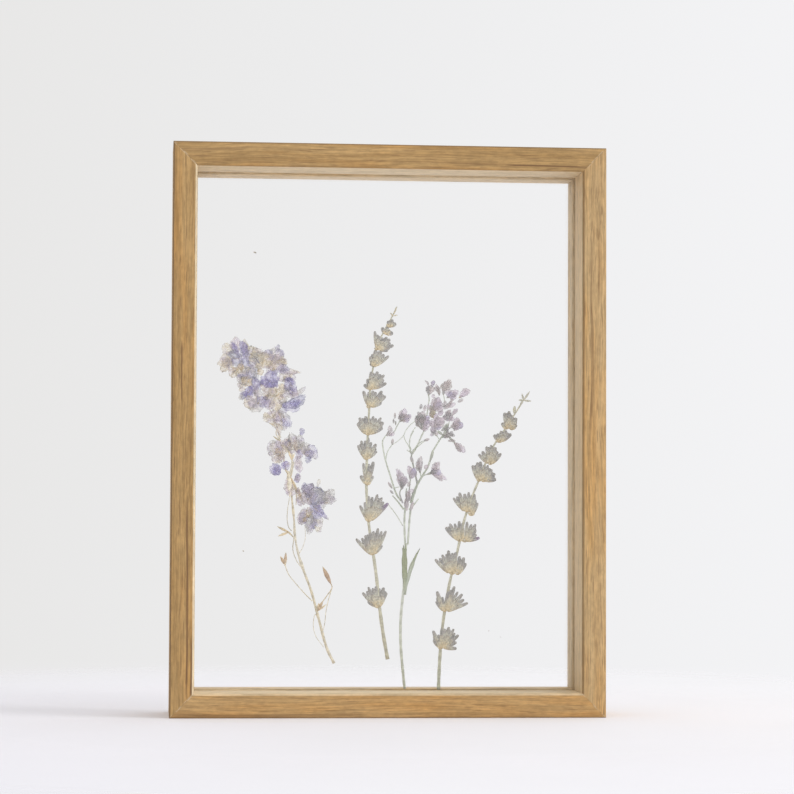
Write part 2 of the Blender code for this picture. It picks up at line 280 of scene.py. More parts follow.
def oak(name, along, shift, light=oak_light, mid=oak_mid, dark_veins=()):
    """Oak whose grain runs along the given axis; shift picks another stretch of the board.

    A dark vein is given by where it lies across the length, half its width, and where it starts
    and ends.
    """
    material, tree, output = new_material(name)
    place = add_node(tree, "TexCoord").outputs["Object"]
    board = add_node(tree, "Mapping")
    board.inputs["Location"].default_value = shift
    if along == "Z":
        board.inputs["Rotation"].default_value = (0.0, math.radians(90), 0.0)
    tree.links.new(place, board.inputs["Vector"])
    sway = clouds(tree, board.outputs["Vector"], 11.0, 2.0).outputs["Color"]
    swaying = calc(tree, "VectorMath", "SUBTRACT", sway, (0.5, 0.5, 0.5))
    pushed = calc(tree, "VectorMath", "MULTIPLY_ADD", swaying, (0.0, 0.006, 0.006), board.outputs["Vector"])

    def streaks(lengthwise, crosswise, detail, roughness=0.6):
        """Noise drawn out along the grain."""
        drawn = calc(tree, "VectorMath", "MULTIPLY", pushed, (lengthwise, crosswise, crosswise))
        return clouds(tree, drawn, 1.0, detail, roughness).outputs["Fac"]

    figure = ramp(tree, streaks(5.0, 300.0, 5.0), (0.34, mid), (0.62, light))
    warmth = ramp(tree, streaks(14.0, 130.0, 2.0), (0.46, 1.0), (0.70, (1.05, 0.92, 0.72)))
    fine = ramp(tree, streaks(36.0, 1300.0, 4.0, 0.7), (0.40, 0.80), (0.60, 1.10))
    fleck = ramp(tree, streaks(260.0, 640.0, 3.0), (0.36, 0.88), (0.64, 1.06))
    pores = ramp(tree, streaks(90.0, 1800.0, 2.0, 0.5), (0.58, 0.0), (0.68, 0.5))
    veins = ramp(tree, streaks(5.0, 460.0, 2.0, 0.4), (0.63, 0.0), (0.72, 0.45))
    wood = mix(tree, pores, times(tree, figure, warmth, fine, fleck), oak_vein)
    wood = mix(tree, veins, wood, oak_vein)

    def away(value, middle):
        """How far a value lies from a middle one."""
        return calc(tree, "Math", "ABSOLUTE", calc(tree, "Math", "SUBTRACT", value, middle))

    parts = add_node(tree, "SeparateXYZ")
    tree.links.new(place, parts.inputs[0])
    sway_parts = add_node(tree, "SeparateXYZ")
    tree.links.new(swaying, sway_parts.inputs[0])
    crosswise = parts.outputs["X" if along == "Z" else "Z"]
    wander = calc(tree, "Math", "MULTIPLY_ADD", sway_parts.outputs["Y"], 0.0022, crosswise)
    for middle, half_width, start, end in dark_veins:
        half_run = (end - start) / 2
        beside = between(tree, away(wander, middle), half_width, half_width * 0.3)
        reach = between(tree, away(parts.outputs[along], (start + end) / 2), half_run, half_run * 0.75)
        broken = calc(tree, "Math", "MULTIPLY", calc(tree, "Math", "MULTIPLY", beside, reach), fine)
        wood = mix(tree, broken, wood, oak_vein)

    # Painted light and shade, together with the real finish. The first channel paints the inner arrises and
    # walls pale: sanded bare wood plus a painted highlight and sheen. The second paints arrises dark: waxed
    # wood plus painted shade. The third marks the glue line at the mitres.
    ease_and_painted_light = add_node(tree, "Attribute", attribute_name="ease_and_painted_light")
    eased_and_lit = add_node(tree, "SeparateColor")
    tree.links.new(ease_and_painted_light.outputs["Color"], eased_and_lit.inputs[0])
    wood = mix(tree, eased_and_lit.outputs[0], wood, times(tree, fine, fleck, oak_raw_and_highlight))
    wood = mix(tree, eased_and_lit.outputs[1], wood, oak_wax_and_shade)
    crumbly = ramp(tree, streaks(220.0, 220.0, 2.0), (0.44, 0.0), (0.56, 0.75))
    wood = mix(tree, times(tree, crumbly, eased_and_lit.outputs[2]), wood, oak_glue)

    shader = add_node(tree, "BsdfPrincipled")
    shader.inputs["Specular IOR Level"].default_value = 0.45
    tree.links.new(wood, shader.inputs["Base Color"])
    tree.links.new(ramp(tree, fine, (0.84, 0.64), (1.0, 0.5)), shader.inputs["Roughness"])
    raise_grain(tree, shader, mix(tree, 1.0, fine, pores, "SUBTRACT"), 0.35, 0.00012)
    tree.links.new(shader.outputs[0], output.inputs["Surface"])
    return material


def everything(bm):
    return bm.verts[:] + bm.edges[:] + bm.faces[:]


def saw(bm, point, normal):
    """Cut off what lies beyond a plane and close the cut."""
    cut = bmesh.ops.bisect_plane(bm, geom=everything(bm), plane_co=point, plane_no=normal, clear_outer=True)
    rim = [edge for edge in cut["geom_cut"] if isinstance(edge, bmesh.types.BMEdge)]
    bmesh.ops.contextual_create(bm, geom=rim)


def long_edge_at(bm, inward, y):
    """The moulding's long edge at this distance from the outside and this depth."""
    def is_there(vert):
        return abs(vert.co.z - inward) < 1e-5 and abs(vert.co.y - y) < 1e-5
    return [edge for edge in bm.edges if is_there(edge.verts[0]) and is_there(edge.verts[1])]


def mitred_length(section, length, rounded):
    """An (inward, depth) section drawn out along X, its listed long edges rounded, its ends mitred."""
    bm = bmesh.new()
    end_face = bm.faces.new([bm.verts.new((-length / 2, y, inward)) for inward, y in section])
    drawn = bmesh.ops.extrude_face_region(bm, geom=[end_face])
    far_end = [item for item in drawn["geom"] if isinstance(item, bmesh.types.BMVert)]
    bmesh.ops.translate(bm, verts=far_end, vec=(length, 0, 0))
    bmesh.ops.recalc_face_normals(bm, faces=bm.faces)
    for inward, y, radius in rounded:
        bmesh.ops.bevel(bm, geom=long_edge_at(bm, inward, y), offset=radius, affect="EDGES", segments=4,
                        profile=0.5, material=-1)
    for end in (1, -1):
        saw(bm, Vector((end * (length / 2 - glue_line), 0, 0)), Vector((end, 0, 1)))
    return bm


def make_piece(name, bm, material, slot, *nodes):
    """Turn a finished mesh into a piece that stands for its nodes."""
    mesh = bpy.data.meshes.new(name)
    bm.to_mesh(mesh)
    bm.free()
    mesh.materials.append(material)
    mesh.shade_smooth()
    piece = bpy.data.objects.new(name, mesh)
    scene.collection.objects.link(piece)
    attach(piece, "root")
    if nodes:
        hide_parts(*nodes)
    return piece


def fit_wood(name, bm, place, node, material):
    """Set a sawn length in its place in the frame."""
    bmesh.ops.transform(bm, matrix=place, verts=bm.verts)
    piece = make_piece(name, bm, material, "oak", node)
    piece.data.set_sharp_from_angle(angle=math.radians(35))


def moulding(name, node, length, place, material, wax_and_shade, inner_wax_and_shade, eased_and_lit, bareness_and_light=0.92):
    """One mitred length: an L drawn out along X at the frame's bottom, then set in place.

    The first two numbers after the material say how dark the outer and inner front arris are: waxed
    wood, plus painted shade where they face away from the daylight. The next says how pale the inner
    arris is: sanded wood, plus a painted highlight where it faces the light. The lip's inside and the
    rebate are bare wood, painted paler by the last number as sheen and bounce light; a lower last
    number paints shade on them.
    """
    front, back = outer_low.y, outer_high.y
    section = [(0.0, front), (face_width, front), (face_width, lip_back), (rebate_wall, lip_back),
               (rebate_wall, back), (0.0, back)]
    rounded = [(0.0, front, outer_arris), (face_width, front, inner_arris),
               (face_width, lip_back, lip_arris), (rebate_wall, back, outer_arris), (0.0, back, outer_arris)]
    bm = mitred_length(section, length, rounded)
    for end in (1, -1):
        beside_joint = Vector((end * (length / 2 - glue_line - glue_squeeze), 0, 0))
        bmesh.ops.bisect_plane(bm, geom=everything(bm), plane_co=beside_joint, plane_no=Vector((end, 0, 1)))
    ease_and_painted_light = bm.loops.layers.float_color.new("ease_and_painted_light")
    for face in bm.faces:
        slanted = max(abs(part) for part in face.normal) < 0.999 and abs(face.normal.x) < 0.1
        middle = face.calc_center_median()
        on_face = middle.y < front + hair
        inner_edge = slanted and middle.z > face_width - inner_arris and middle.y < front + inner_arris
        outer_edge = slanted and middle.z < outer_arris and middle.y < front + outer_arris
        in_rebate = middle.z > rebate_wall - hair and middle.y < back - MM
        bare = in_rebate and middle.y > front + inner_arris
        # Painted light. pale is sanded or bare wood plus a painted highlight and sheen; dark is waxed wood
        # plus painted shade.
        pale = eased_and_lit if inner_edge else bareness_and_light if bare else 0.0
        dark = inner_wax_and_shade if inner_edge else wax_and_shade if outer_edge else 0.0
        for loop in face.loops:
            to_mitre = length / 2 - glue_line - abs(loop.vert.co.x) - loop.vert.co.z
            loop[ease_and_painted_light] = (pale, dark, 1.0 if to_mitre < 2 * hair and on_face else 0.0, 1.0)
    fit_wood(name, bm, place, node, material)


half_up = Matrix.Translation((0, 0, outer_height / 2))
half_across = Matrix.Translation((outer_width / 2, 0, 0))
at_bottom = Matrix.Identity(4)
at_top = half_up @ Matrix.Rotation(math.pi, 4, "Y") @ half_up.inverted()
at_right = half_across @ half_up @ Matrix.Rotation(-math.pi / 2, 4, "Y")
at_left = at_top @ at_right
oak_bottom = oak("oak_bottom", "X", (0.31, 0.12, 0.05), (0.57, 0.36, 0.15), (0.48, 0.285, 0.108))
oak_top = oak("oak_top", "X", (0.0, 0.4, 0.2), dark_veins=[(0.2512, 0.0005, 0.052, 0.089)])
oak_right = oak("oak_right", "Z", (0.7, 0.1, 0.3), (0.61, 0.415, 0.20), (0.56, 0.365, 0.165))
oak_left = oak("oak_left", "Z", (0.2, 0.6, 0.1),
               dark_veins=[(-0.0915, 0.0006, 0.006, 0.100), (-0.0893, 0.0009, 0.008, 0.036),
                           (-0.0888, 0.0005, 0.208, 0.228), (-0.0945, 0.0004, 0.14, 0.17)])
# Per side, these numbers paint the daylight from the right. The left and bottom inner arrises get a painted
# highlight. The right stile's inner arris and lip inside get painted shade. The left outer arris gets
# painted shade on top of being waxed.
moulding("moulding_bottom", "rail_bottom", outer_width, at_bottom, oak_bottom, 0.4, 0.0, 0.6)
moulding("moulding_top", "rail_top", outer_width, at_top, oak_top, 0.7, 0.1, 0.0)
moulding("moulding_right", "stile_right", outer_height, at_right, oak_right, 0.1, 0.65, 0.0, 0.55)
moulding("moulding_left", "stile_left", outer_height, at_left, oak_left, 0.9, 0.0, 0.9)

# ---------------------------------------------------------------------------
# The fillets: four thin strips of bare oak, mitred and pinned into the rebate
# from behind, that hold the glass against the lip. Their pins don't show.
# ---------------------------------------------------------------------------
bare_across = oak("oak_bare_across", "X", (0.9, 0.3, 0.7), (0.80, 0.65, 0.43), (0.73, 0.57, 0.36))
bare_upright = oak("oak_bare_upright", "Z", (0.5, 0.8, 0.9), (0.69, 0.56, 0.37), (0.63, 0.50, 0.32))
fillet_low, fillet_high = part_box("fillet_bottom")
fillet_foot = fillet_low.z - outer_low.z
fillet_lip = fillet_high.z - outer_low.z
fillet_section = [(fillet_foot, fillet_low.y), (fillet_lip, fillet_low.y), (fillet_lip, fillet_high.y),
                  (fillet_foot, fillet_high.y)]
fillet_rounded = [(fillet_lip, fillet_low.y, 1.0 * MM), (fillet_lip, fillet_high.y, 0.5 * MM)]
for side, length, place, wood in (("bottom", outer_width, at_bottom, bare_across),
                                  ("top", outer_width, at_top, bare_across),
                                  ("right", outer_height, at_right, bare_upright),
                                  ("left", outer_height, at_left, bare_upright)):
    strip = mitred_length(fillet_section, length, fillet_rounded)
    fit_wood("fillet_strip_" + side, strip, place, "fillet_" + side, wood)

# ---------------------------------------------------------------------------
# The glass: two sheets of clear float glass, cut to the rebate with seamed
# edges. The plants lie between them, and daylight passes straight through.
# ---------------------------------------------------------------------------


def clear_glass(name):
    """Clear glass that lets daylight, straight or scattered, through to the plants."""
    material, tree, output = new_material(name)
    shader = add_node(tree, "BsdfPrincipled")
    shader.inputs["Base Color"].default_value = (1.0, 1.0, 1.0, 1.0)
    shader.inputs["Transmission Weight"].default_value = 1.0
    shader.inputs["IOR"].default_value = 1.46
    shader.inputs["Roughness"].default_value = 0.0
    passing = add_node(tree, "BsdfTransparent")
    passing.inputs["Color"].default_value = (0.98, 0.98, 0.98, 1.0)
    rays = add_node(tree, "LightPath")
    lighting = calc(tree, "Math", "MAXIMUM", rays.outputs["Is Shadow Ray"], rays.outputs["Is Diffuse Ray"])
    choose = add_node(tree, "MixShader")
    tree.links.new(lighting, choose.inputs[0])
    tree.links.new(shader.outputs[0], choose.inputs[1])
    tree.links.new(passing.outputs[0], choose.inputs[2])
    tree.links.new(choose.outputs[0], output.inputs["Surface"])
    return material


float_glass = clear_glass("float_glass")
for pane_node in ("pane_front", "pane_rear"):
    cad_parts[pane_node].data.materials.clear()
    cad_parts[pane_node].data.materials.append(float_glass)

# ---------------------------------------------------------------------------
# The larkspur: a straw-coloured stalk whose petals dried between blotting
# sheets, so they are paper-thin, crumpled and half clear. It hangs over to the
# left, held by nothing but the two sheets of glass.
# ---------------------------------------------------------------------------
glass_clearance = 0.10 * MM
gap_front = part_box("pane_front")[1].y + glass_clearance
gap_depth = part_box("pane_rear")[0].y - glass_clearance - gap_front
petal_paper = 0.05 * MM

larkspur_tints = {
    "deep": (0.28, 0.24, 0.58), "violet": (0.41, 0.36, 0.67), "blue": (0.43, 0.43, 0.61),
    "ink": (0.33, 0.32, 0.43), "pale": (0.63, 0.61, 0.80), "mauve": (0.74, 0.66, 0.67),
    "pink": (0.84, 0.74, 0.76), "grey": (0.74, 0.72, 0.69), "beige": (0.86, 0.77, 0.61),
    "cream": (0.90, 0.84, 0.70), "gold": (0.73, 0.58, 0.37), "straw": (0.81, 0.73, 0.54),
    "tan": (0.86, 0.81, 0.67), "olive": (0.56, 0.50, 0.36), "rust": (0.50, 0.36, 0.25),
}
bud_profile = ((0.0, 0.25), (0.12, 0.55), (0.35, 0.95), (0.6, 1.0), (0.82, 0.68), (1.0, 0.12))
pod_profile = ((0.0, 0.2), (0.2, 0.7), (0.5, 1.0), (0.75, 0.7), (0.92, 0.3), (1.0, 0.1))


def blend_tints(tints, share):
    """The tint part of the way along a list of tints."""
    place = share * (len(tints) - 1)
    index = min(int(place), len(tints) - 2)
    return Vector(tints[index]).lerp(Vector(tints[index + 1]), place - index)


def tints_of(palette, names):
    return [palette[name] for name in names.split()]


def smooth_path(points, steps=5):
    """Points on a smooth curve through the given (x, z) millimetre points."""
    knots = [Vector((x, 0, z)) for x, z in points]
    knots = [2 * knots[0] - knots[1]] + knots + [2 * knots[-1] - knots[-2]]
    path = []
    for a, b, c, d in zip(knots, knots[1:], knots[2:], knots[3:]):
        for step in range(steps):
            t = step / steps
            path.append(0.5 * (2 * b + (c - a) * t + (2 * a - 5 * b + 4 * c - d) * t * t
                               + (3 * b - 3 * c + d - a) * t * t * t))
    path.append(knots[-2])
    return path


def start_sprig():
    """An empty mesh with the layers that the plant materials read."""
    bm = bmesh.new()
    bm.verts.layers.float_color.new("tint")
    bm.loops.layers.uv.new("vein")
    return bm


def depth_at(depth):
    """A place between the sheets of glass: 0 against the front one, 1 against the rear one."""
    return gap_front + gap_depth * depth


def add_ring(bm, spot, along, half, half_depth, sides, is_end, rim_before, ribs=0.0):
    """One ring of a stalk or husk, joined to the rim before it; ribs draws in every other point."""
    across = Vector((along.z, 0, -along.x))
    turn = Matrix((across, Vector((0, 1, 0)), along)).transposed().to_4x4()
    place = Matrix.Translation(spot) @ turn @ Matrix.Diagonal((half, half_depth, 1, 1))
    ring = bmesh.ops.create_circle(bm, cap_ends=is_end, segments=sides, radius=1, matrix=place)["verts"]
    for vert in ring[1::2]:
        vert.co = spot + (vert.co - spot) * (1 - ribs)
    rim = list({edge for vert in ring for edge in vert.link_edges})
    if rim_before:
        bmesh.ops.bridge_loops(bm, edges=rim_before + rim)
    return ring, rim


def add_stalk(bm, points, widths, depth, tints, knots=(), flat=0.55, thickest=0.35 * MM):
    """A stalk swept along a path; knots are the shares of its length where it swells."""
    layer = bm.verts.layers.float_color["tint"]
    path = smooth_path(points)
    last = len(path) - 1
    rim = []
    for index, point in enumerate(path):
        share = index / last
        along = (path[min(index + 1, last)] - path[max(index - 1, 0)]).normalized()
        half = (widths[0] + (widths[1] - widths[0]) * share) / 2
        half *= 1 + 0.09 * math.sin(index * 1.7 + points[0][0])
        for knot in knots:
            half *= 1 + 0.5 * math.exp(-((share - knot) * len(path) / 1.2) ** 2)
        half *= MM
        spot = point * MM + Vector((0, depth_at(depth), 0))
        ring, rim = add_ring(bm, spot, along, half, min(half * flat, thickest), 6, index in (0, last), rim)
        tone = blend_tints(tints, share) * (0.94 + 0.1 * math.sin(index * 2.3 + points[0][1]))
        for vert in ring:
            sunny = (vert.co - spot).dot(Vector((along.z, 0, -along.x))) < 0
            vert[layer] = (*(tone * (1.07 if sunny else 0.93)), 1.0)


def add_husk(bm, base, tip, width, depth, tints, profile=pod_profile, sides=8, ribs=0.0, flat=0.5):
    """A bud, pod or calyx: rings along its length, ribbed if ribs is above 0."""
    layer = bm.verts.layers.float_color["tint"]
    start = Vector((base[0], 0, base[1])) * MM
    reach = Vector((tip[0], 0, tip[1])) * MM - start
    last = len(profile) - 1
    rim = []
    for index, (share, swell) in enumerate(profile):
        half = width / 2 * swell * MM
        spot = start + reach * share + Vector((0, depth_at(depth), 0))
        is_end = index in (0, last)
        ring, rim = add_ring(bm, spot, reach.normalized(), half, half * flat, sides, is_end, rim, ribs)
        tone = blend_tints(tints, index / last)
        for number, vert in enumerate(ring):
            # The drawn-in points between the ribs are coloured darker: painted shade in the grooves.
            vert[layer] = (*(tone * (1.08 - 1.2 * ribs * (number % 2))), 1.0)


def add_petal(bm, dice, base, tip, width, depth, tints, claw=0.3, blunt=0.45, crumple=0.05):
    """One petal pressed flat: drawn in at its claw, rounded at its tip, ruffled at its rim."""
    layer = bm.verts.layers.float_color["tint"]
    veins = bm.loops.layers.uv["vein"]
    start = Vector((base[0], 0, base[1])) * MM
    reach = Vector((tip[0], 0, tip[1])) * MM - start
    side = Vector((reach.z, 0, -reach.x)).normalized()
    half = width / 2 * MM
    bend, swirl, notch = dice.uniform(-0.14, 0.14), dice.uniform(0, 6.3), dice.uniform(0.0, 0.10)
    widest = dice.uniform(0.5, 0.68)
    grid = bmesh.ops.create_grid(bm, x_segments=8, y_segments=11, size=1.0)
    shares = {}
    for vert in grid["verts"]:
        across, along = vert.co.x, (vert.co.y + 1) / 2
        shares[vert] = (across, along)
        if along < widest:
            swell = claw + (1 - claw) * math.sin(along / widest * math.pi / 2) ** 1.1
        else:
            swell = blunt + (1 - blunt) * math.cos((along - widest) / (1 - widest) * math.pi / 2) ** 0.7
        rim = abs(across) ** 3
        swell *= 1 + rim * (0.13 * math.sin(8 * along + swirl) + 0.12 * math.sin(19 * along + 2 * swirl))
        reached = along - 0.13 * across * across * along ** 3
        reached -= notch * math.exp(-(across / 0.3) ** 2) * along ** 6
        ruffle = math.sin(9 * across + swirl) + math.sin(16 * across + 3 * swirl)
        reached += 0.03 * ruffle * along ** 4
        spot = start + reach * reached + side * half * across * swell
        spot += side * bend * reach.length * math.sin(reached * math.pi)
        fold = math.sin(across * 4 + swirl) * 0.6 + math.sin(along * 7 - across * 3 + swirl * 2) * 0.4
        spot.y = depth_at(depth) + crumple * MM * fold
        vert.co = spot
        streak = math.sin(across * 7 + swirl * 3) * 0.5 + math.sin(across * 13 + along * 4 + swirl) * 0.5
        tone = blend_tints(tints, min(1.0, max(0.0, along * 1.15 + 0.12 * streak)))
        edge = max(rim, ((along - 0.8) / 0.2) ** 3 if along > 0.8 else 0.0)
        vert[layer] = (*(tone * (1.0 + 0.12 * streak - 0.16 * edge)), 1.0)
    for face in {face for vert in grid["verts"] for face in vert.link_faces}:
        for loop in face.loops:
            across, along = shares[loop.vert]
            loop[veins].uv = (across * 0.5 + swirl, along)


def finish_sprig(name, bm, material, slot, *nodes, paper=0.0):
    """Make the mesh a piece; paper is the thickness of its petals."""
    bmesh.ops.recalc_face_normals(bm, faces=bm.faces)
    piece = make_piece(name, bm, material, slot, *nodes)
    if paper:
        wall = piece.modifiers.new("paper", "SOLIDIFY")
        wall.thickness = paper
        wall.offset = 0.0


def petal_material(name, thin, thick, stain, blotch, grain):
    """Dried petal: veined, stained and half clear; thin and thick are its opacities."""
    material, tree, output = new_material(name)
    tint = add_node(tree, "Attribute", attribute_name="tint")
    place = add_node(tree, "TexCoord").outputs["Object"]
    drawn = add_node(tree, "Mapping")
    drawn.inputs["Scale"].default_value = (16.0, 1.6, 1.0)
    tree.links.new(add_node(tree, "UVMap", uv_map="vein").outputs["UV"], drawn.inputs["Vector"])
    vein = clouds(tree, drawn.outputs["Vector"], 1.0, 3.0).outputs["Fac"]
    patch = clouds(tree, place, grain, 3.0).outputs["Fac"]
    run = clouds(tree, place, 330.0, 2.0).outputs["Fac"]
    veined = ramp(tree, vein, (0.35, 1.0 - blotch), (0.62, 1.0 + blotch * 0.4))
    patched = ramp(tree, patch, (0.35, 1.0 - blotch), (0.65, 1.0 + blotch * 0.5))
    stained = ramp(tree, run, (0.46, 0.0), (0.66, 0.55))
    colour = times(tree, mix(tree, stained, tint.outputs["Color"], stain), veined, patched)
    shader = add_node(tree, "BsdfPrincipled")
    shader.inputs["Roughness"].default_value = 0.8
    shader.inputs["Specular IOR Level"].default_value = 0.15
    tree.links.new(colour, shader.inputs["Base Color"])
    tree.links.new(ramp(tree, patch, (0.36, thick), (0.62, thin)), shader.inputs["Alpha"])
    raise_grain(tree, shader, vein, 0.5, 0.0001)
    tree.links.new(shader.outputs[0], output.inputs["Surface"])
    return material


def dry_material(name, scale, contrast, fuzz=0.0):
    """Dry stalk or husk: its own tint, flecked; fuzz gives a downy bloom."""
    material, tree, output = new_material(name)
    tint = add_node(tree, "Attribute", attribute_name="tint")
    fleck = clouds(tree, add_node(tree, "TexCoord").outputs["Object"], scale, 4.0).outputs["Fac"]
    flecked = ramp(tree, fleck, (0.34, 1.0 - contrast), (0.66, 1.0 + contrast * 0.6))
    shader = add_node(tree, "BsdfPrincipled")
    shader.inputs["Roughness"].default_value = 0.85
    shader.inputs["Specular IOR Level"].default_value = 0.2
    shader.inputs["Sheen Weight"].default_value = fuzz
    shader.inputs["Sheen Roughness"].default_value = 0.6
    tree.links.new(times(tree, tint.outputs["Color"], flecked), shader.inputs["Base Color"])
    raise_grain(tree, shader, fleck, 0.6, 0.00015)
    tree.links.new(shader.outputs[0], output.inputs["Surface"])
    return material


def sprig(name, node, slot, material, palette, stems=(), husks=(), profile=pod_profile):
    """Stems as (points, widths, depth, tints, knots) and husks as (base, tip, width, depth, tints).

    Places are (x, z) in millimetres from the middle of the frame's foot; depth is a share of the gap.
    """
    bm = start_sprig()
    for points, widths, depth, tints, *knots in stems:
        add_stalk(bm, points, widths, depth, tints_of(palette, tints), knots)
    for base, tip, width, depth, tints in husks:
        add_husk(bm, base, tip, width, depth, tints_of(palette, tints), profile)
    finish_sprig(name, bm, material, slot, node)


def floret(name, seed, rows, material, palette, node, slot, twinned=9.0, lean=24, back=0.6, creases=(),
           spread=1.0):
    """A group of petals, listed from the back to the front as base x and z, tip x and z, width and tints.

    spread is how much wider they grew as they were pressed. Petals at least as wide as twinned have
    a second one behind them, turned by up to lean degrees. creases are the tints of the narrow folds
    pressed into the wider ones.
    """
    front = 0.12
    creased = 4.0
    dice = random.Random(seed)
    bm = start_sprig()
    for index, (base_x, base_z, tip_x, tip_z, listed, tints) in enumerate(rows):
        width = listed * spread
        depth = back + (front - back) * (index + 0.5) / len(rows)
        first, second = tints.split()
        base, tip = Vector((base_x, base_z)), Vector((tip_x, tip_z))
        if width >= twinned:
            askew = math.radians(dice.choice((-1, 1)) * dice.uniform(0.4, 1.0) * lean)
            reach = (tip - base) * dice.uniform(0.8, 0.95)
            reach.rotate(Matrix.Rotation(askew, 2))
            swapped = tints_of(palette, second + " " + first)
            add_petal(bm, dice, base, base + reach, width * 0.8, depth + 0.05, swapped)
        add_petal(bm, dice, base, tip, width, depth, tints_of(palette, tints))
        if creases and width >= creased:
            reach = tip - base
            beside = Vector((reach.y, -reach.x)).normalized() * width * dice.uniform(-0.32, 0.32)
            heel = base + reach * dice.uniform(0.0, 0.3) + beside * 0.5
            toe = base + reach * dice.uniform(0.6, 0.95) + beside
            fold_width = dice.uniform(0.5, 0.9)
            fold_tints = tints_of(palette, dice.choice(creases) + " " + second)
            add_petal(bm, dice, heel, toe, fold_width, depth - 0.03, fold_tints, blunt=0.2, crumple=0.02)
    finish_sprig(name, bm, material, slot, node, paper=petal_paper)


larkspur_petal = petal_material("larkspur_petal_dried", 0.27, 0.48, (0.64, 0.57, 0.76), 0.17, 640.0)
larkspur_straw = dry_material("larkspur_straw", 700.0, 0.22)
sprig("larkspur_stalk", "larkspur_stem", "straw_stem", larkspur_straw, larkspur_tints, [
    ([(-23.3, 23.3), (-27, 31), (-30.8, 44.8), (-34, 56.3), (-37.6, 65.9), (-40.2, 73.9), (-41.7, 82),
      (-42.1, 89), (-43.1, 98.1), (-43.9, 107.1), (-46.2, 113.1), (-48.7, 125.2), (-51.2, 134.5),
      (-54.2, 141)], (1.5, 0.5), 0.72, "tan straw tan straw beige cream", 0.33, 0.48, 0.58),
    ([(-30.4, 42.3), (-32.1, 45.8), (-33, 40.8), (-31.8, 35.7), (-28.2, 30.7)], (0.35, 0.3),
      0.8, "straw tan"),
    ([(-28.6, 37.7), (-27.7, 41.8), (-27.2, 46.8), (-26.2, 51.8), (-24.5, 57.8)], (0.35, 0.4),
      0.6, "tan straw"),
    ([(-42.1, 80.7), (-42.6, 75.4), (-40.9, 70.4), (-38.8, 67.4)], (0.45, 0.4), 0.6, "olive tan"),
    ([(-44.3, 99.1), (-45.1, 94), (-45.3, 89), (-44.5, 85.5), (-43.3, 84)], (0.4, 0.4), 0.6, "tan olive"),
    ([(-39.6, 73.7), (-37.9, 76.9), (-36.9, 81), (-37.1, 86)], (0.35, 0.25), 0.75, "tan cream"),
    ([(-44.7, 108.1), (-42.3, 104.6), (-41.2, 100.6), (-41.3, 96)], (0.7, 0.35), 0.5, "straw gold"),
    ([(-49.2, 133.2), (-50.7, 129.2), (-49.3, 126.2), (-47.2, 121.7)], (0.5, 0.4), 0.55, "beige straw"),
    ([(-43.2, 119.7), (-43.3, 114.1), (-44.7, 108.6)], (0.6, 0.9), 0.5, "straw tan"),
    ([(-46.3, 112.3), (-44.3, 109.1), (-42, 105.1), (-40.3, 101.2)], (1, 1.2), 0.5, "straw gold olive"),
    ([(-40.3, 103.1), (-38.9, 99.2), (-37.7, 95.9)], (1.2, 0.5), 0.5, "olive mauve"),
    ([(-42.4, 115.7), (-43, 112.4), (-43.7, 109.1)], (0.6, 0.9), 0.5, "tan straw"),
    ([(-51.7, 132.7), (-49.7, 130.1), (-48.4, 126.8)], (0.5, 0.4), 0.5, "beige tan"),
    ([(-45.4, 122.9), (-44.1, 119.6), (-42.9, 117)], (0.5, 0.6), 0.5, "gold straw"),
    ([(-62.6, 165.4), (-60.5, 163.8), (-58.6, 161)], (0.4, 0.5), 0.1, "olive ink"),
    ([(-53.9, 133.6), (-51.8, 132.4)], (0.4, 0.5), 0.2, "olive gold"),
], [
    ((-44.9, 111.5), (-44.1, 99.3), 2.6, 0.5, "straw tan beige"),
    ((-43.4, 116.5), (-45.2, 121.8), 1, 0.45, "gold straw"),
    ((-43.3, 116.5), (-42.1, 120), 0.9, 0.5, "gold tan"),
    ((-48.7, 125.2), (-52.1, 127.6), 0.8, 0.5, "olive olive"),
])
sprig("larkspur_twig_left", "larkspur_branch_left", "straw_stem", larkspur_straw, larkspur_tints, [
    ([(-33.6, 51.8), (-37.2, 55.4), (-40.5, 59.1), (-44.3, 63.7), (-46, 67.9), (-46.6, 70.6)], (0.5, 0.5),
      0.6, "straw tan straw"),
], [
    ((-46.4, 68.6), (-48.3, 72.3), 1.4, 0.6, "rust gold"),
    ((-46.2, 67.8), (-45.8, 74.2), 1.5, 0.5, "straw rust straw"),
])
sprig("larkspur_twig_right", "larkspur_branch_right", "straw_stem", larkspur_straw, larkspur_tints, [
    ([(-31, 48.1), (-28.9, 51.3), (-26.6, 54.5), (-24.5, 57.8), (-25.1, 60.1)], (0.5, 0.5),
      0.6, "straw gold"),
], [
    ((-25, 59.7), (-28.8, 67.6), 2.1, 0.55, "rust rust gold"),
    ((-31, 47.4), (-28.6, 51.9), 1.5, 0.4, "rust gold"),
    ((-31.2, 47.2), (-30.4, 51), 1.2, 0.5, "olive gold"),
    ((-31, 47.2), (-26.9, 50.4), 0.9, 0.6, "gold straw"),
])
sprig("larkspur_leaf", "larkspur_bract", "straw_stem", larkspur_straw, larkspur_tints, [
    ([(-42.1, 80.9), (-43.9, 82.6), (-45.7, 83.9)], (0.7, 0.6), 0.55, "straw gold"),
], [
    ((-44.6, 83.4), (-49.9, 86), 1.2, 0.5, "gold olive"),
    ((-44.6, 83.4), (-49.5, 81.5), 1.2, 0.6, "gold straw"),
    ((-42.6, 81.4), (-45.4, 84.2), 0.9, 0.4, "olive gold"),
])

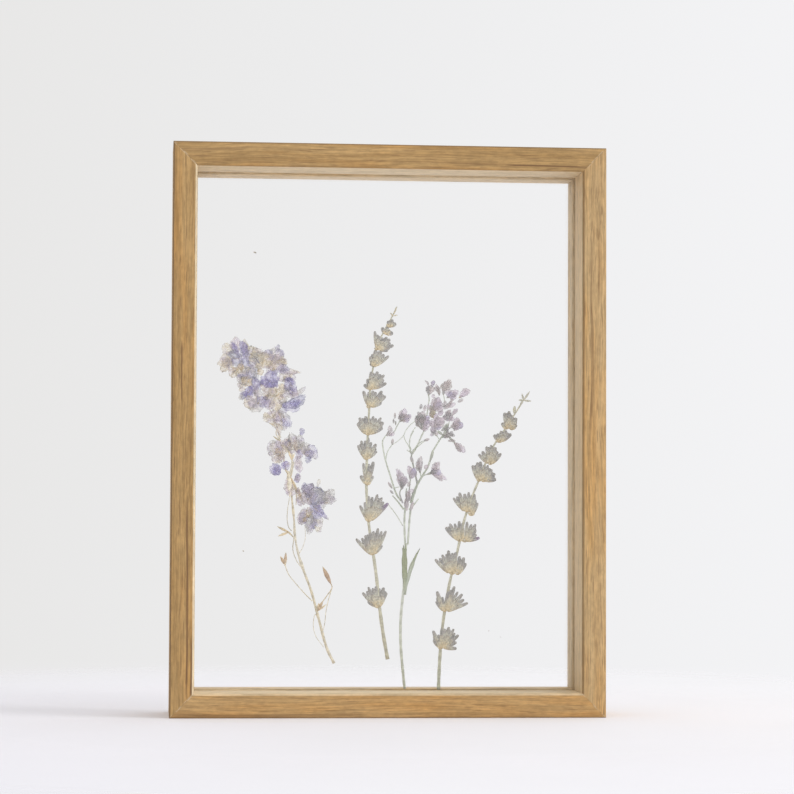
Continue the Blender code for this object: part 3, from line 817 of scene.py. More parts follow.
larkspur_florets = {
    "crown": [
        (-64, 162.5, -60, 157, 4, "blue grey"), (-68.5, 159, -70.5, 156.5, 3.5, "beige gold"),
        (-71.5, 163, -75.5, 159, 4, "beige cream"), (-70.5, 161.5, -73, 157.5, 3.5, "gold beige"),
        (-67, 165.5, -66, 171.5, 3, "pale blue"), (-70, 167, -71, 170, 3.5, "pale pink"),
        (-70.5, 165.5, -75.5, 170, 5, "beige cream"), (-70.5, 162.5, -78, 160.5, 4, "mauve beige"),
        (-70.5, 161.5, -76.5, 157, 4, "mauve beige"), (-71.5, 163, -77, 162.5, 3.5, "beige cream"),
        (-68.5, 158.5, -72, 154.5, 4, "gold beige"), (-67.5, 160, -69.5, 156, 3, "gold cream"),
        (-65, 164.5, -65.5, 172.5, 2.5, "grey cream"), (-64.5, 165.5, -64, 170, 2, "grey cream"),
        (-67.5, 164, -69.5, 173.5, 4.5, "pale pink"), (-68, 164.5, -71.5, 171, 2.5, "violet violet"),
        (-65, 163, -67.5, 171.5, 3.5, "violet violet"), (-67, 164, -62.5, 162.5, 5.5, "blue pale"),
        (-66, 160.5, -71.5, 163, 5.5, "blue blue"), (-67.5, 163, -73.5, 165.5, 4, "blue ink"),
        (-67, 163, -64.5, 159.5, 5, "pale blue"), (-66, 158, -68.5, 160.5, 3, "gold gold"),
    ],
    "cream": [
        (-59, 160, -61, 163, 3.5, "beige gold"), (-57, 159, -56, 163, 3.2, "cream beige"),
        (-62, 157, -64, 160.5, 3.5, "beige pale"), (-62, 164.5, -58.5, 167.5, 4.5, "cream beige"),
        (-59, 163.5, -62, 167, 4, "beige cream"), (-57, 163, -56, 166.5, 3.5, "mauve cream"),
        (-63.5, 163, -61, 169, 6.5, "grey cream"), (-62, 163, -57.5, 167.5, 6, "beige cream"),
        (-61.5, 161.5, -63, 166.5, 5, "mauve cream"), (-57.5, 159.5, -61.5, 163, 6, "beige grey"),
        (-59, 158.5, -55.5, 166.5, 7, "beige beige"), (-63.5, 163, -59, 163, 5, "beige grey"),
    ],
    "spur": [
        (-55, 157, -52.5, 160, 3.5, "beige mauve"), (-52, 156, -50.5, 160, 3, "grey beige"),
        (-49, 156, -46.5, 159, 3, "mauve blue"), (-46.5, 157, -40.5, 157.5, 1.6, "violet mauve"),
        (-47.5, 152.5, -44, 155.5, 3.5, "beige mauve"), (-52, 162.5, -54.5, 166, 4, "mauve pink"),
        (-50.5, 162, -46.5, 162, 4, "beige cream"), (-49.5, 160, -46.5, 163, 4, "mauve beige"),
        (-53, 160, -50.5, 163, 3.5, "beige mauve"), (-46.5, 157, -46, 152.5, 3.5, "beige pale"),
        (-48, 156.5, -48.5, 152.5, 3.5, "beige mauve"), (-44.5, 156, -42, 153.5, 3.5, "beige grey"),
        (-50.5, 158.5, -45.5, 158.5, 3.5, "blue mauve"), (-52.5, 162, -51, 169, 6.5, "mauve grey"),
        (-54, 163, -55, 167.5, 4, "pale pale"), (-51.5, 166, -49.5, 170, 2, "grey blue"),
        (-50.5, 163, -48, 167.5, 4, "pink pale"), (-51.5, 161.5, -45.5, 161.5, 5, "beige beige"),
        (-52.5, 161, -49, 165, 4.5, "mauve pink"), (-52.5, 162.5, -53.5, 165.5, 3, "violet pink"),
        (-52.5, 163, -53, 157.5, 4, "pink gold"), (-55.5, 164.5, -54, 160, 5, "beige beige"),
        (-51.5, 157.5, -39.5, 157, 2.5, "violet beige"), (-51, 158.5, -44.5, 158, 3, "mauve blue"),
    ],
    "middle": [
        (-62, 152.5, -64.5, 155.5, 3.5, "beige gold"), (-59, 152.5, -60.5, 156.5, 3, "pale grey"),
        (-57, 150.5, -59, 152.5, 3, "beige mauve"), (-54, 150, -56, 152, 2.6, "grey beige"),
        (-60.5, 148, -63.5, 150, 3, "mauve violet"), (-50.5, 139.5, -48, 136.5, 3.2, "mauve pink"),
        (-64, 159, -67, 153.5, 4, "mauve beige"), (-62, 159, -63.5, 154, 4, "grey blue"),
        (-58.5, 159, -61, 156, 3.5, "grey pale"), (-65.5, 153.5, -68.5, 155.5, 3, "pale mauve"),
        (-64.5, 150.5, -67.5, 152.5, 3.5, "beige beige"), (-61.5, 150.5, -60.5, 155, 3.5, "violet blue"),
        (-58, 150, -61.5, 147, 3.5, "pale grey"), (-57, 150.5, -59, 153, 3.5, "mauve violet"),
        (-59, 146, -61.5, 150.5, 3.5, "violet grey"), (-56.5, 148, -56, 152, 3.5, "beige mauve"),
        (-49, 148, -46.5, 151.5, 4, "beige beige"), (-50.5, 147.5, -54, 150, 4, "beige mauve"),
        (-46.5, 147.5, -43, 149.5, 3.5, "mauve beige"), (-55, 146, -57, 142, 4, "mauve beige"),
        (-54, 144.5, -55, 140.5, 3.5, "violet pale"), (-46.5, 144.5, -48, 140.5, 3.5, "beige mauve"),
        (-44, 146, -41.5, 149.5, 3.5, "violet mauve"), (-53, 148, -56.5, 144.5, 4, "grey beige"),
        (-52, 143.5, -49, 139.5, 3.5, "mauve beige"), (-60.5, 143, -63.5, 140, 3.5, "beige cream"),
        (-63.5, 148, -67, 144.5, 3, "mauve violet"), (-63.5, 156, -68.5, 152, 6.5, "mauve grey"),
        (-62.5, 155, -66, 151, 5.5, "beige gold"), (-66, 152, -68, 149.5, 3, "cream cream"),
        (-61, 154.5, -69, 155.5, 2, "ink blue"), (-66, 157.5, -63, 159, 3, "grey beige"),
        (-63.5, 154.5, -61, 158.5, 5.5, "pale grey"), (-57.5, 155.5, -59, 158.5, 3, "beige gold"),
        (-59.5, 149, -61.5, 154, 4, "violet blue"), (-59, 148, -62, 150, 4, "mauve pale"),
        (-59, 149, -59, 144.5, 3.5, "grey mauve"), (-65, 149.5, -68, 148.5, 2, "beige beige"),
        (-64.5, 146, -68, 144.5, 3, "blue grey"), (-62, 150.5, -65.5, 145.5, 4, "violet deep"),
        (-63, 149.5, -64, 144, 3.5, "pale violet"), (-58, 145, -66, 141.5, 5.5, "mauve beige"),
        (-57.5, 145, -62.5, 138.5, 6.5, "mauve grey"), (-54.5, 144.5, -59, 141.5, 5.5, "violet pale"),
        (-54, 144.5, -54, 139.5, 5, "violet mauve"), (-50.5, 146, -57, 149.5, 5.5, "beige mauve"),
        (-50, 146, -53, 150.5, 5, "beige beige"), (-49.5, 146, -47.5, 152, 5.5, "beige beige"),
        (-49, 146, -44, 148.5, 5, "beige grey"), (-49.5, 145.5, -46, 142.5, 4, "beige grey"),
        (-50.5, 145, -50.5, 139, 5.5, "beige beige"), (-51, 145.5, -54.5, 142, 5, "beige mauve"),
        (-51, 146, -47.5, 145, 3.5, "gold gold"), (-54.5, 146.5, -56, 144, 2, "gold ink"),
        (-47.5, 154.5, -44.5, 154.5, 3.5, "beige mauve"), (-46.5, 154.5, -41.5, 149, 5, "violet pale"),
        (-45.5, 154.5, -43, 151, 3, "deep violet"), (-45, 151, -41.5, 147.5, 4, "mauve violet"),
        (-43.5, 146, -37, 150.5, 2, "mauve grey"), (-44.5, 146, -40, 147, 3.5, "mauve mauve"),
        (-48, 141.5, -39.5, 140.5, 5, "pale pale"), (-48, 141.5, -37, 146.5, 5, "violet blue"),
        (-45.5, 142.5, -39, 143.5, 3, "violet deep"), (-49.5, 139, -45.5, 139.5, 3, "grey pale"),
        (-52.5, 150, -54, 158, 6.5, "violet violet"), (-51.5, 150.5, -58, 155, 4, "violet deep"),
        (-54, 151, -50.5, 153.5, 5, "violet violet"),
    ],
    "fading": [
        (-52, 139.5, -52.5, 135, 3.5, "cream mauve"), (-49, 138.5, -47.5, 133.5, 3.5, "mauve beige"),
        (-50.5, 134, -51.5, 131, 3, "beige grey"), (-48, 133.5, -46.5, 130, 3, "mauve grey"),
        (-49, 128, -48.5, 133, 3, "mauve beige"), (-54, 138, -55.5, 135.5, 3.5, "cream beige"),
        (-50.5, 138.5, -56.5, 134.5, 5, "beige cream"), (-50.5, 137.5, -52.5, 132.5, 4, "cream cream"),
        (-50, 139, -48, 132.5, 5.5, "mauve beige"), (-50.5, 139, -49.5, 134, 4, "beige mauve"),
        (-48, 139, -44, 131.5, 4, "grey pale"), (-47.5, 136, -44.5, 132, 3, "pale pale"),
    ],
    "side_left": [
        (-47.5, 122, -50.5, 126, 3.4, "beige mauve"), (-46.5, 117.5, -49, 119.5, 3, "mauve pink"),
        (-49, 119.5, -52.5, 121.5, 3, "beige cream"), (-46.5, 119.5, -49.5, 123, 3.5, "mauve pink"),
        (-49, 119.5, -50.5, 115.5, 3.5, "mauve beige"), (-50.5, 122, -53.5, 124, 3.5, "mauve beige"),
        (-51, 120, -54.5, 119.5, 2.5, "beige cream"), (-49.5, 121, -54, 125, 5.5, "mauve grey"),
        (-49.5, 121, -49.5, 125.5, 4, "mauve mauve"), (-49.5, 120, -54.5, 119.5, 2, "grey grey"),
        (-49.5, 120, -51.5, 115, 4.5, "mauve beige"), (-48, 120, -48.5, 116, 3.5, "gold mauve"),
        (-48, 123.5, -45, 120, 3, "beige beige"), (-48.5, 120, -50.5, 122, 3, "gold gold"),
        (-48.5, 119.5, -46.5, 118.5, 2.5, "mauve beige"), (-44, 115, -48.5, 113.5, 4, "mauve violet"),
        (-45.5, 116, -47, 113.5, 3, "violet violet"), (-48.5, 113.5, -53.5, 111, 5.5, "deep violet"),
        (-48.5, 113, -51.5, 109.5, 4, "violet violet"),
    ],
    "side_right": [
        (-44.5, 122, -43, 127.5, 3.4, "pink mauve"), (-43.5, 119.5, -46.5, 123, 2.6, "beige gold"),
        (-42.5, 106, -43.5, 102.5, 3, "pink beige"), (-41, 110.5, -40, 107, 2.6, "pink mauve"),
        (-43.5, 121, -47.5, 126, 4, "mauve beige"), (-43.5, 121, -44.5, 127, 3.5, "beige mauve"),
        (-41, 121, -39.5, 126.5, 4, "mauve grey"), (-40.5, 119.5, -37, 123.5, 4, "mauve violet"),
        (-41, 118.5, -40.5, 112, 3.5, "pink mauve"), (-41, 109.5, -40.5, 106, 2.5, "pink violet"),
        (-43.5, 106.5, -45.5, 101.5, 4, "pink mauve"), (-42, 104.5, -43.5, 100, 3, "beige pink"),
        (-38, 121, -34, 119.5, 3.5, "pale mauve"), (-39, 128, -39, 131.5, 2.5, "violet blue"),
        (-43.5, 119.5, -44, 129.5, 5, "beige grey"), (-42, 120, -39.5, 128.5, 4.5, "mauve grey"),
        (-44.5, 121, -46.5, 127, 3, "mauve mauve"), (-44.5, 123, -45, 126, 2, "gold ink"),
        (-41, 120, -41.5, 128, 2, "gold mauve"), (-40.5, 117.5, -39, 121.5, 4, "mauve violet"),
        (-37.5, 119, -37, 125, 5.5, "beige grey"), (-37.5, 119, -32, 122.5, 6.5, "beige pale"),
        (-37.5, 120, -33, 118.5, 4, "violet pale"), (-36.5, 119, -36, 115, 3, "blue blue"),
        (-40, 118.5, -39.5, 110.5, 3.5, "mauve pink"), (-40.5, 110.5, -40, 106.5, 2, "blue pink"),
        (-46, 107.5, -45, 100, 2.5, "pink pink"), (-39.5, 102, -39, 95, 2.5, "gold mauve"),
        (-40.5, 104, -39, 100, 2, "gold gold"),
    ],
    "low": [
        (-35.5, 100, -37.5, 105.5, 4, "blue mauve"), (-34.5, 98.5, -30.5, 104, 5.5, "mauve grey"),
        (-31.5, 98.5, -25.5, 102, 4.5, "grey mauve"), (-31.5, 97.5, -23.5, 98.5, 4, "mauve grey"),
        (-33, 96.5, -27.5, 95.5, 4.5, "blue grey"), (-34.5, 96, -31, 92.5, 4.5, "violet pale"),
        (-32.5, 94.5, -28.5, 91.5, 3.5, "violet deep"), (-33, 94, -26.5, 89.5, 2, "violet violet"),
        (-37, 101, -37.5, 106.5, 2.5, "mauve blue"), (-35.5, 100.5, -33.5, 106, 3, "mauve grey"),
        (-31.5, 104, -30.5, 108, 1.5, "grey cream"), (-30, 98.5, -23.5, 103, 5, "grey grey"),
        (-30, 97, -22.5, 98.5, 4.5, "mauve grey"), (-34, 96, -32, 105, 9.5, "mauve blue"),
        (-34, 96, -28, 102.5, 8, "blue grey"), (-35, 96, -36.5, 103.5, 4.5, "mauve mauve"),
        (-33.5, 100, -38, 105.5, 5, "mauve ink"), (-35.5, 102, -36, 99, 2.5, "ink ink"),
        (-33.5, 95, -29.5, 94, 3.5, "mauve violet"), (-34, 95, -29, 90, 5, "pale pale"),
        (-29.5, 91.5, -26, 89, 1, "pale grey"),
    ],
    "shade": [
        (-37.5, 96, -40, 100, 3.5, "mauve ink"), (-37, 94.5, -40, 87.5, 3.5, "mauve violet"),
        (-34.5, 93.5, -35, 83.5, 4, "grey blue"), (-33.5, 93.5, -30, 84, 3, "grey cream"),
        (-36.5, 93.5, -37.5, 87, 3, "mauve pale"), (-33, 93.5, -32.5, 86, 2.5, "mauve grey"),
        (-37.5, 94, -39.5, 86.5, 4.5, "mauve mauve"), (-37.5, 93, -41, 89.5, 2.5, "pale mauve"),
        (-35.5, 95, -36, 90, 3, "beige gold"), (-37, 90.5, -38, 88, 1.5, "gold gold"),
        (-34, 91.5, -35.5, 82.5, 4.5, "grey grey"), (-33, 91, -33, 84.5, 3.5, "mauve blue"),
        (-32.5, 89.5, -29.5, 88, 1.5, "cream cream"), (-32.5, 86.5, -29.5, 83.5, 2, "cream cream"),
        (-33.5, 93, -36, 93, 2.5, "beige mauve"),
    ],
}
for seed, (part, rows) in enumerate(larkspur_florets.items(), start=1):
    floret("larkspur_" + part, seed, rows, larkspur_petal, larkspur_tints, "larkspur_floret_" + part,
           "larkspur_petal", creases=("gold", "grey", "mauve", "gold", "ink"), spread=1.08)

# ---------------------------------------------------------------------------
# The tall lavender: a square, pale stalk with rings of ribbed, downy calyces
# pressed to fans. Their feet dried gold and their mouths grey.
# ---------------------------------------------------------------------------
lavender_tints = {
    "pale": (0.70, 0.68, 0.53), "stalk": (0.60, 0.58, 0.44), "green": (0.50, 0.52, 0.38),
    "gold": (0.50, 0.39, 0.23), "straw": (0.67, 0.57, 0.38), "warm": (0.48, 0.42, 0.33),
    "grey": (0.43, 0.41, 0.38), "dusk": (0.35, 0.34, 0.32), "purple": (0.34, 0.27, 0.37),
    "light": (0.58, 0.57, 0.48), "sage": (0.58, 0.63, 0.52),
}
calyx_profile = ((0.0, 0.34), (0.1, 0.6), (0.32, 0.9), (0.58, 1.0), (0.8, 0.9), (0.95, 0.68), (1.0, 0.34))
calyx_width = 1.95


def calyx_ring(name, seed, feet, tips, node, purple=()):
    """One ring of calyces: each tip is reached from the nearest of the ring's feet."""
    dice = random.Random(seed)
    bm = start_sprig()
    if len(feet) == 2:
        feet = feet + [((feet[0][0] + feet[1][0]) / 2, (feet[0][1] + feet[1][1]) / 2 + 0.8)]
    midway = [((a[0] + b[0]) / 2, (a[1] + b[1]) / 2) for a, b in zip(tips, tips[1:])]
    layers = [(tip, 1.0, 0.55) for tip in tips] + [(tip, 0.93, 0.68) for tip in midway]
    layers += [(tip, dice.uniform(0.5, 0.68), 0.36) for tip in midway + tips[1:-1]]
    for index, ((tip_x, tip_z), share, depth) in enumerate(layers):
        foot = min(feet, key=lambda spot: abs(spot[0] - tip_x) + 0.3 * abs(spot[1] - tip_z))
        end = (foot[0] + share * (tip_x - foot[0]) + dice.uniform(-0.25, 0.25),
               foot[1] + share * (tip_z - foot[1]))
        start = (foot[0] + 0.22 * (end[0] - foot[0]) + dice.uniform(-0.3, 0.3),
                 foot[1] + 0.06 * (end[1] - foot[1]))
        shades = "gold straw warm light grey grey dusk"
        if share < 0.7:
            shades = "gold straw straw light warm grey"
        elif index in purple:
            shades = "gold straw warm grey purple purple purple"
        elif dice.random() < 0.4:
            shades = "gold straw warm grey dusk grey dusk"
        width = calyx_width * dice.uniform(0.85, 1.12)
        add_husk(bm, start, end, width, depth + 0.02 * (index % 3), tints_of(lavender_tints, shades),
                 calyx_profile, sides=10, ribs=0.12, flat=0.32)
    for foot_x, foot_z in feet:
        for side in (-1, 1):
            tip = (foot_x + side * dice.uniform(1.3, 2.1), foot_z + dice.uniform(0.6, 2.2))
            bract_tints = tints_of(lavender_tints, "gold straw light")
            add_husk(bm, (foot_x, foot_z - 0.3), tip, 1.2, 0.3, bract_tints, flat=0.4)
    finish_sprig(name, bm, lavender_down, "lavender_calyx", node)


lavender_stalk = dry_material("lavender_stalk", 900.0, 0.18)
lavender_down = dry_material("lavender_down", 1500.0, 0.28, 0.15)
sprig("lavender_tall_stalk", "lavender_tall_stem", "lavender_stem", lavender_stalk, lavender_tints, [
    ([(1.4, 25.1), (-0.7, 36.7), (-2.5, 49.4), (-3.7, 60.9), (-5.5, 73.9), (-7.8, 89), (-8.8, 105.1),
      (-8.5, 120.2), (-8.1, 131.7), (-7.6, 141.3), (-7.2, 150.8), (-5.8, 160.4), (-4, 169.4), (-1.2, 176),
      (2.9, 183.5), (4.8, 187.7)], (1.9, 0.6), 0.7, "stalk pale pale stalk pale stalk"),
], [
    ((3.7, 184.5), (5.1, 188.3), 0.7, 0.5, "straw light"),
    ((3.3, 183.5), (1.8, 185.2), 0.7, 0.5, "straw light"),
    ((3.5, 183.7), (5.4, 184.1), 0.7, 0.6, "straw light"),
])
tall_rings = [
    ([(1.7, 178.5)], [(4.6, 180.3), (3, 182.1), (1.2, 181.5)]),
    ([(0, 175.1)], [(-2.1, 178.3), (3.3, 175.9), (0.7, 178.7)]),
    ([(-4.1, 168)], [(-5.2, 176.5), (-2.9, 174.3), (0.3, 173.8), (1.8, 172.9), (3.6, 170), (0.9, 167.6)]),
    ([(-5.5, 160.2)], [(-7.4, 164.8), (-5, 167.8), (-2, 167.5), (1.4, 165.1), (-7.4, 161.6)]),
    ([(-7.1, 149.5)], [(-10.3, 151.8), (-6.8, 157.7), (-3.8, 157.8), (-0.6, 156.3), (0, 152.5)]),
    ([(-7.6, 141.1)], [(-10.2, 148.8), (-6.1, 148.9), (-1.9, 148.8), (0.1, 146.5), (-2.2, 143.2)]),
    ([(-8.3, 128.6)], [(-13.1, 133.8), (-12, 136.4), (-9.4, 137.1), (-5.7, 137.1), (-2.2, 136.5),
      (-0.9, 134.3), (-1.5, 131.8)]),
    ([(-8.9, 117.2)], [(-12.7, 123.6), (-11.1, 125.8), (-8.1, 127.1), (-4.6, 124.3), (-3.9, 121)]),
    ([(-8.5, 105.5)], [(-10.2, 115.4), (-5.5, 116.1), (-11.4, 109.7), (-5.7, 109.5)]),
    ([(-7.9, 88.6)], [(-11.7, 95.9), (-7.4, 100.2), (-3.8, 101), (-1.3, 99.6), (1.2, 97), (-2.7, 93.8)]),
    ([(-5.8, 73.3)], [(-13.3, 80.5), (-9.4, 82.2), (-7, 84.2), (-3.5, 85.4), (0.4, 84.2), (-10.2, 76.7),
      (-1.5, 77.5)]),
    ([(-3.1, 49)], [(-10.4, 55.7), (-7.5, 58.3), (-4.3, 58.6), (-0.4, 58.1), (1.1, 55.7), (-7.7, 51.8)]),
]
for number, (feet, tips) in enumerate(tall_rings, start=1):
    calyx_ring(f"lavender_tall_ring_{number}", 20 + number, feet, tips, f"lavender_tall_whorl_{number}",
               purple=(4,) if number == 10 else ())

# ---------------------------------------------------------------------------
# The short lavender: the same herb, picked shorter and leaning right, with a
# small star of bracts at its tip.
# ---------------------------------------------------------------------------
sprig("lavender_short_stalk", "lavender_short_stem", "lavender_stem", lavender_stalk, lavender_tints, [
    ([(25, 11.2), (25.3, 19.6), (25.9, 30.4), (27.2, 43.4), (30, 60.1), (33.6, 74.9), (36.4, 88),
      (38.6, 95), (41.1, 102.1), (44.1, 109.1), (46.6, 115.8), (50.6, 124.2), (55.1, 130.7), (59.7, 137.9),
      (64, 144.5)], (1.75, 0.7), 0.72, "sage stalk pale pale pale pale"),
])
bm = start_sprig()
for arm in ((67.3, 149.4), (63.5, 148.3), (61.9, 145.2), (68, 144.7), (62.5, 142.9)):
    add_husk(bm, (64.3, 145), arm, 1.0, 0.5, tints_of(lavender_tints, "pale light pale"))
add_husk(bm, (59.8, 138.9), (60.2, 142.5), 1.4, 0.5, tints_of(lavender_tints, "stalk pale"), bud_profile)
finish_sprig("lavender_short_star", bm, lavender_down, "lavender_calyx", "lavender_short_tip")
short_rings = [
    ([(56.5, 131.8), (58.7, 131.4)], [(55.4, 139.3), (57.6, 140), (58.9, 138.2), (60.8, 136.9),
      (61.2, 133.8), (54.2, 134.6)]),
    ([(52.9, 125.6)], [(50.4, 129), (54.2, 130.8), (56.5, 131), (58.5, 129.4)]),
    ([(49, 115.3)], [(43.3, 119.9), (46.8, 123.5), (49.4, 124.2), (51.5, 123.2), (53.8, 120.3)]),
    ([(43.7, 107.5), (45.8, 107.3)], [(40.4, 114.7), (42.9, 116.1), (44.4, 116.5), (47.9, 114.9),
      (49.7, 112.9), (51.2, 111), (51.4, 108.3)]),
    ([(37.7, 93.2), (40.1, 91.6)], [(31.8, 99.6), (34.4, 102), (38.9, 102.3), (41.6, 101.4), (43.1, 97.4)]),
    ([(34.5, 79.8), (37.2, 79.4)], [(27.9, 86), (30, 87.7), (34.2, 88.9), (38.3, 88.6), (42.2, 87.5),
      (42.5, 84.8), (43.7, 81.2)]),
    ([(31, 64.5), (33.9, 64.3)], [(23.4, 71.2), (26.5, 73.3), (29.5, 75.3), (33, 74.5), (36.6, 72.1),
      (37.5, 69.4)]),
    ([(27.8, 47.2)], [(24.1, 56.4), (23.9, 51.8), (29.5, 56.8), (32.4, 58.7), (36.1, 55.2), (38.7, 51.1),
      (32.6, 48.8)]),
    ([(26, 30.3)], [(22.4, 38.3), (22.7, 34.1), (26.6, 39.8), (29.6, 40), (31.9, 39.1), (34.4, 36.3),
      (33.5, 30.1)]),
]
for number, (feet, tips) in enumerate(short_rings, start=1):
    calyx_ring(f"lavender_short_ring_{number}", 40 + number, feet, tips, f"lavender_short_whorl_{number}",
               purple=(6,) if number == 6 else ())

# ---------------------------------------------------------------------------
# The pink spray: a green stalk with two narrow leaves, forking into hair-thin
# stems that carry small papery flowers and buds.
# ---------------------------------------------------------------------------
spray_tints = {
    "stalk": (0.70, 0.74, 0.63), "green": (0.53, 0.57, 0.47), "pale": (0.75, 0.78, 0.70),
    "sepal": (0.39, 0.39, 0.36), "grey": (0.50, 0.50, 0.49), "lilac": (0.79, 0.71, 0.80),
    "violet": (0.68, 0.62, 0.80), "mauve": (0.63, 0.56, 0.57), "dusk": (0.46, 0.43, 0.45),
    "beige": (0.68, 0.63, 0.58), "cream": (0.85, 0.80, 0.78), "gold": (0.64, 0.55, 0.39),
    "pink": (0.85, 0.76, 0.82), "leaf": (0.36, 0.39, 0.25),
}
spray_green = dry_material("spray_green", 800.0, 0.12)
spray_papery = petal_material("spray_petal_dried", 0.42, 0.58, (0.66, 0.56, 0.56), 0.08, 420.0)


def spray_leaf(name, node, base, tip, width, tints, dice, blunt):
    """A narrow leaf, pressed flat, four times as thick as a petal."""
    bm = start_sprig()
    add_petal(bm, dice, base, tip, width, 0.4, tints_of(spray_tints, tints), claw=0.45, blunt=blunt,
              crumple=0.03)
    finish_sprig(name, bm, spray_green, "spray_green", node, paper=4 * petal_paper)


sprig("spray_stalk", "spray_stem", "spray_green", spray_green, spray_tints, [
    ([(9.3, 11.6), (8.7, 17.6), (7.7, 27.7), (7.3, 35.7), (7.4, 43.8), (8.1, 51.9), (8.7, 56.8)],
      (1.4, 1.4), 0.7, "green stalk pale"),
    ([(8.7, 55.8), (9.1, 65.9), (9.7, 78.6)], (1.54, 1.26), 0.7, "stalk stalk"),
    ([(9.3, 77.9), (8.9, 87.2), (9.2, 94), (10.1, 98.1)], (1.05, 0.98), 0.6, "stalk green"),
    ([(10.5, 77.9), (11.1, 87.2), (11.7, 93.4), (12.7, 98.1)], (0.98, 0.98), 0.65, "stalk green"),
    ([(8.1, 86.6), (5.2, 91.5), (1.4, 96.4)], (0.56, 0.42), 0.6, "pale stalk"),
    ([(8.5, 94.2), (5.9, 97.6), (3.3, 100.5)], (0.98, 0.56), 0.5, "green green"),
    ([(11.1, 94), (13.3, 96.4), (15.4, 99.1)], (0.98, 0.56), 0.5, "green stalk"),
    ([(9.9, 103.9), (9.6, 101.4), (9.8, 98.1)], (0.56, 0.84), 0.6, "green dusk"),
    ([(7.8, 104.5), (6.7, 101.4), (8.1, 97)], (0.56, 0.84), 0.6, "green dusk"),
    ([(11.7, 108.7), (11.1, 103.1), (10.9, 98.1)], (0.56, 0.84), 0.6, "green dusk"),
], [
    ((9.9, 93.6), (9.7, 99.7), 2.2, 0.5, "mauve dusk mauve"),
    ((11.7, 93.4), (12.9, 97.9), 1.6, 0.5, "dusk mauve"),
], bud_profile)
leaf_dice = random.Random(61)
spray_leaf("spray_leaf_wide", "spray_leaf_broad", (9.3, 54.8), (8.9, 78.4), 2.3, "green leaf leaf",
           leaf_dice, 0.95)
spray_leaf("spray_leaf_thin", "spray_leaf_narrow", (9.6, 56.4), (16.1, 76.3), 1.7, "green green leaf",
           leaf_dice, 0.2)
sprig("spray_fork_left", "spray_branch_left", "spray_green", spray_green, spray_tints, [
    ([(7.3, 98.1), (4.9, 101.7), (2.1, 110.2), (-0.1, 117.3), (-1.4, 124.4), (-0.8, 126.9), (0.9, 129)],
      (0.98, 0.56), 0.7, "green stalk stalk"),
    ([(0.1, 117.2), (1, 120.9), (3.2, 124.2)], (0.56, 0.42), 0.65, "stalk stalk"),
    ([(3.2, 124), (6.3, 126.2), (8.4, 128.4), (9.1, 130.1), (11.2, 133), (13.7, 135)], (0.42, 0.42),
      0.6, "pale stalk"),
    ([(1.7, 128), (4.1, 130.2), (5.1, 132.2), (6.8, 135.4)], (0.49, 0.56), 0.6, "stalk green"),
    ([(6.4, 104.5), (3.9, 103.9)], (0.42, 0.42), 0.6, "stalk green"),
], [
    ((3, 124), (3.4, 126.8), 1.2, 0.5, "sepal mauve"), ((4.3, 136), (4.3, 138.9), 1, 0.5, "sepal mauve"),
    ((3.7, 133.8), (3.7, 136.1), 0.9, 0.5, "sepal dusk"),
    ((4.7, 133), (4.6, 135.1), 0.8, 0.5, "sepal sepal"),
    ((3.2, 103.7), (1.2, 106.8), 1.2, 0.5, "sepal mauve"), ((3.7, 101.3), (2.1, 103), 1, 0.5, "sepal dusk"),
    ((6.7, 134.6), (8.5, 137.4), 1.7, 0.5, "sepal dusk"),
    ((0.7, 128.2), (1.8, 130.6), 1.2, 0.5, "sepal dusk"),
    ((7.7, 103.2), (6.8, 107), 1.4, 0.5, "sepal dusk"),
], bud_profile)
sprig("spray_fork_middle", "spray_branch_middle", "spray_green", spray_green, spray_tints, [
    ([(11.9, 97), (13.1, 101.8), (14.5, 105), (14.7, 106.7), (13.8, 110.6), (12.2, 118.1), (12.3, 120.7)],
      (1.26, 0.7), 0.75, "green sepal green"),
    ([(12.3, 119.8), (13.8, 121.7), (15.2, 124.5), (16.6, 128.1), (18, 131.6), (20.1, 144.1),
      (19.7, 147.5)], (0.7, 0.49), 0.7, "green green stalk"),
    ([(12.1, 120), (10.9, 123.1), (9.1, 126.2), (8.4, 128.4)], (0.49, 0.42), 0.65, "stalk stalk"),
    ([(11.1, 123.2), (11.6, 128), (13, 130.9), (13.9, 132.2)], (0.42, 0.42), 0.6, "stalk stalk"),
    ([(15.2, 124.4), (17.3, 125.9)], (0.42, 0.42), 0.6, "stalk green"),
], [
    ((12.8, 115.3), (11.7, 118.8), 1.4, 0.5, "sepal dusk"),
    ((17.7, 125.9), (20.5, 126.8), 1.3, 0.5, "sepal mauve"),
    ((12.2, 119.4), (13.6, 122.4), 1.2, 0.5, "sepal green"),
    ((12.2, 119.6), (11.2, 121.8), 1, 0.5, "sepal green"), ((16.6, 131.2), (15, 136), 2, 0.5, "sepal dusk"),
    ((16.8, 131.4), (17.2, 134.4), 1.4, 0.5, "sepal mauve"),
    ((15.9, 110.9), (16.4, 113.9), 1.3, 0.5, "sepal dusk"),
    ((11.5, 107.8), (11.5, 110.8), 1.2, 0.5, "sepal dusk"),
], bud_profile)
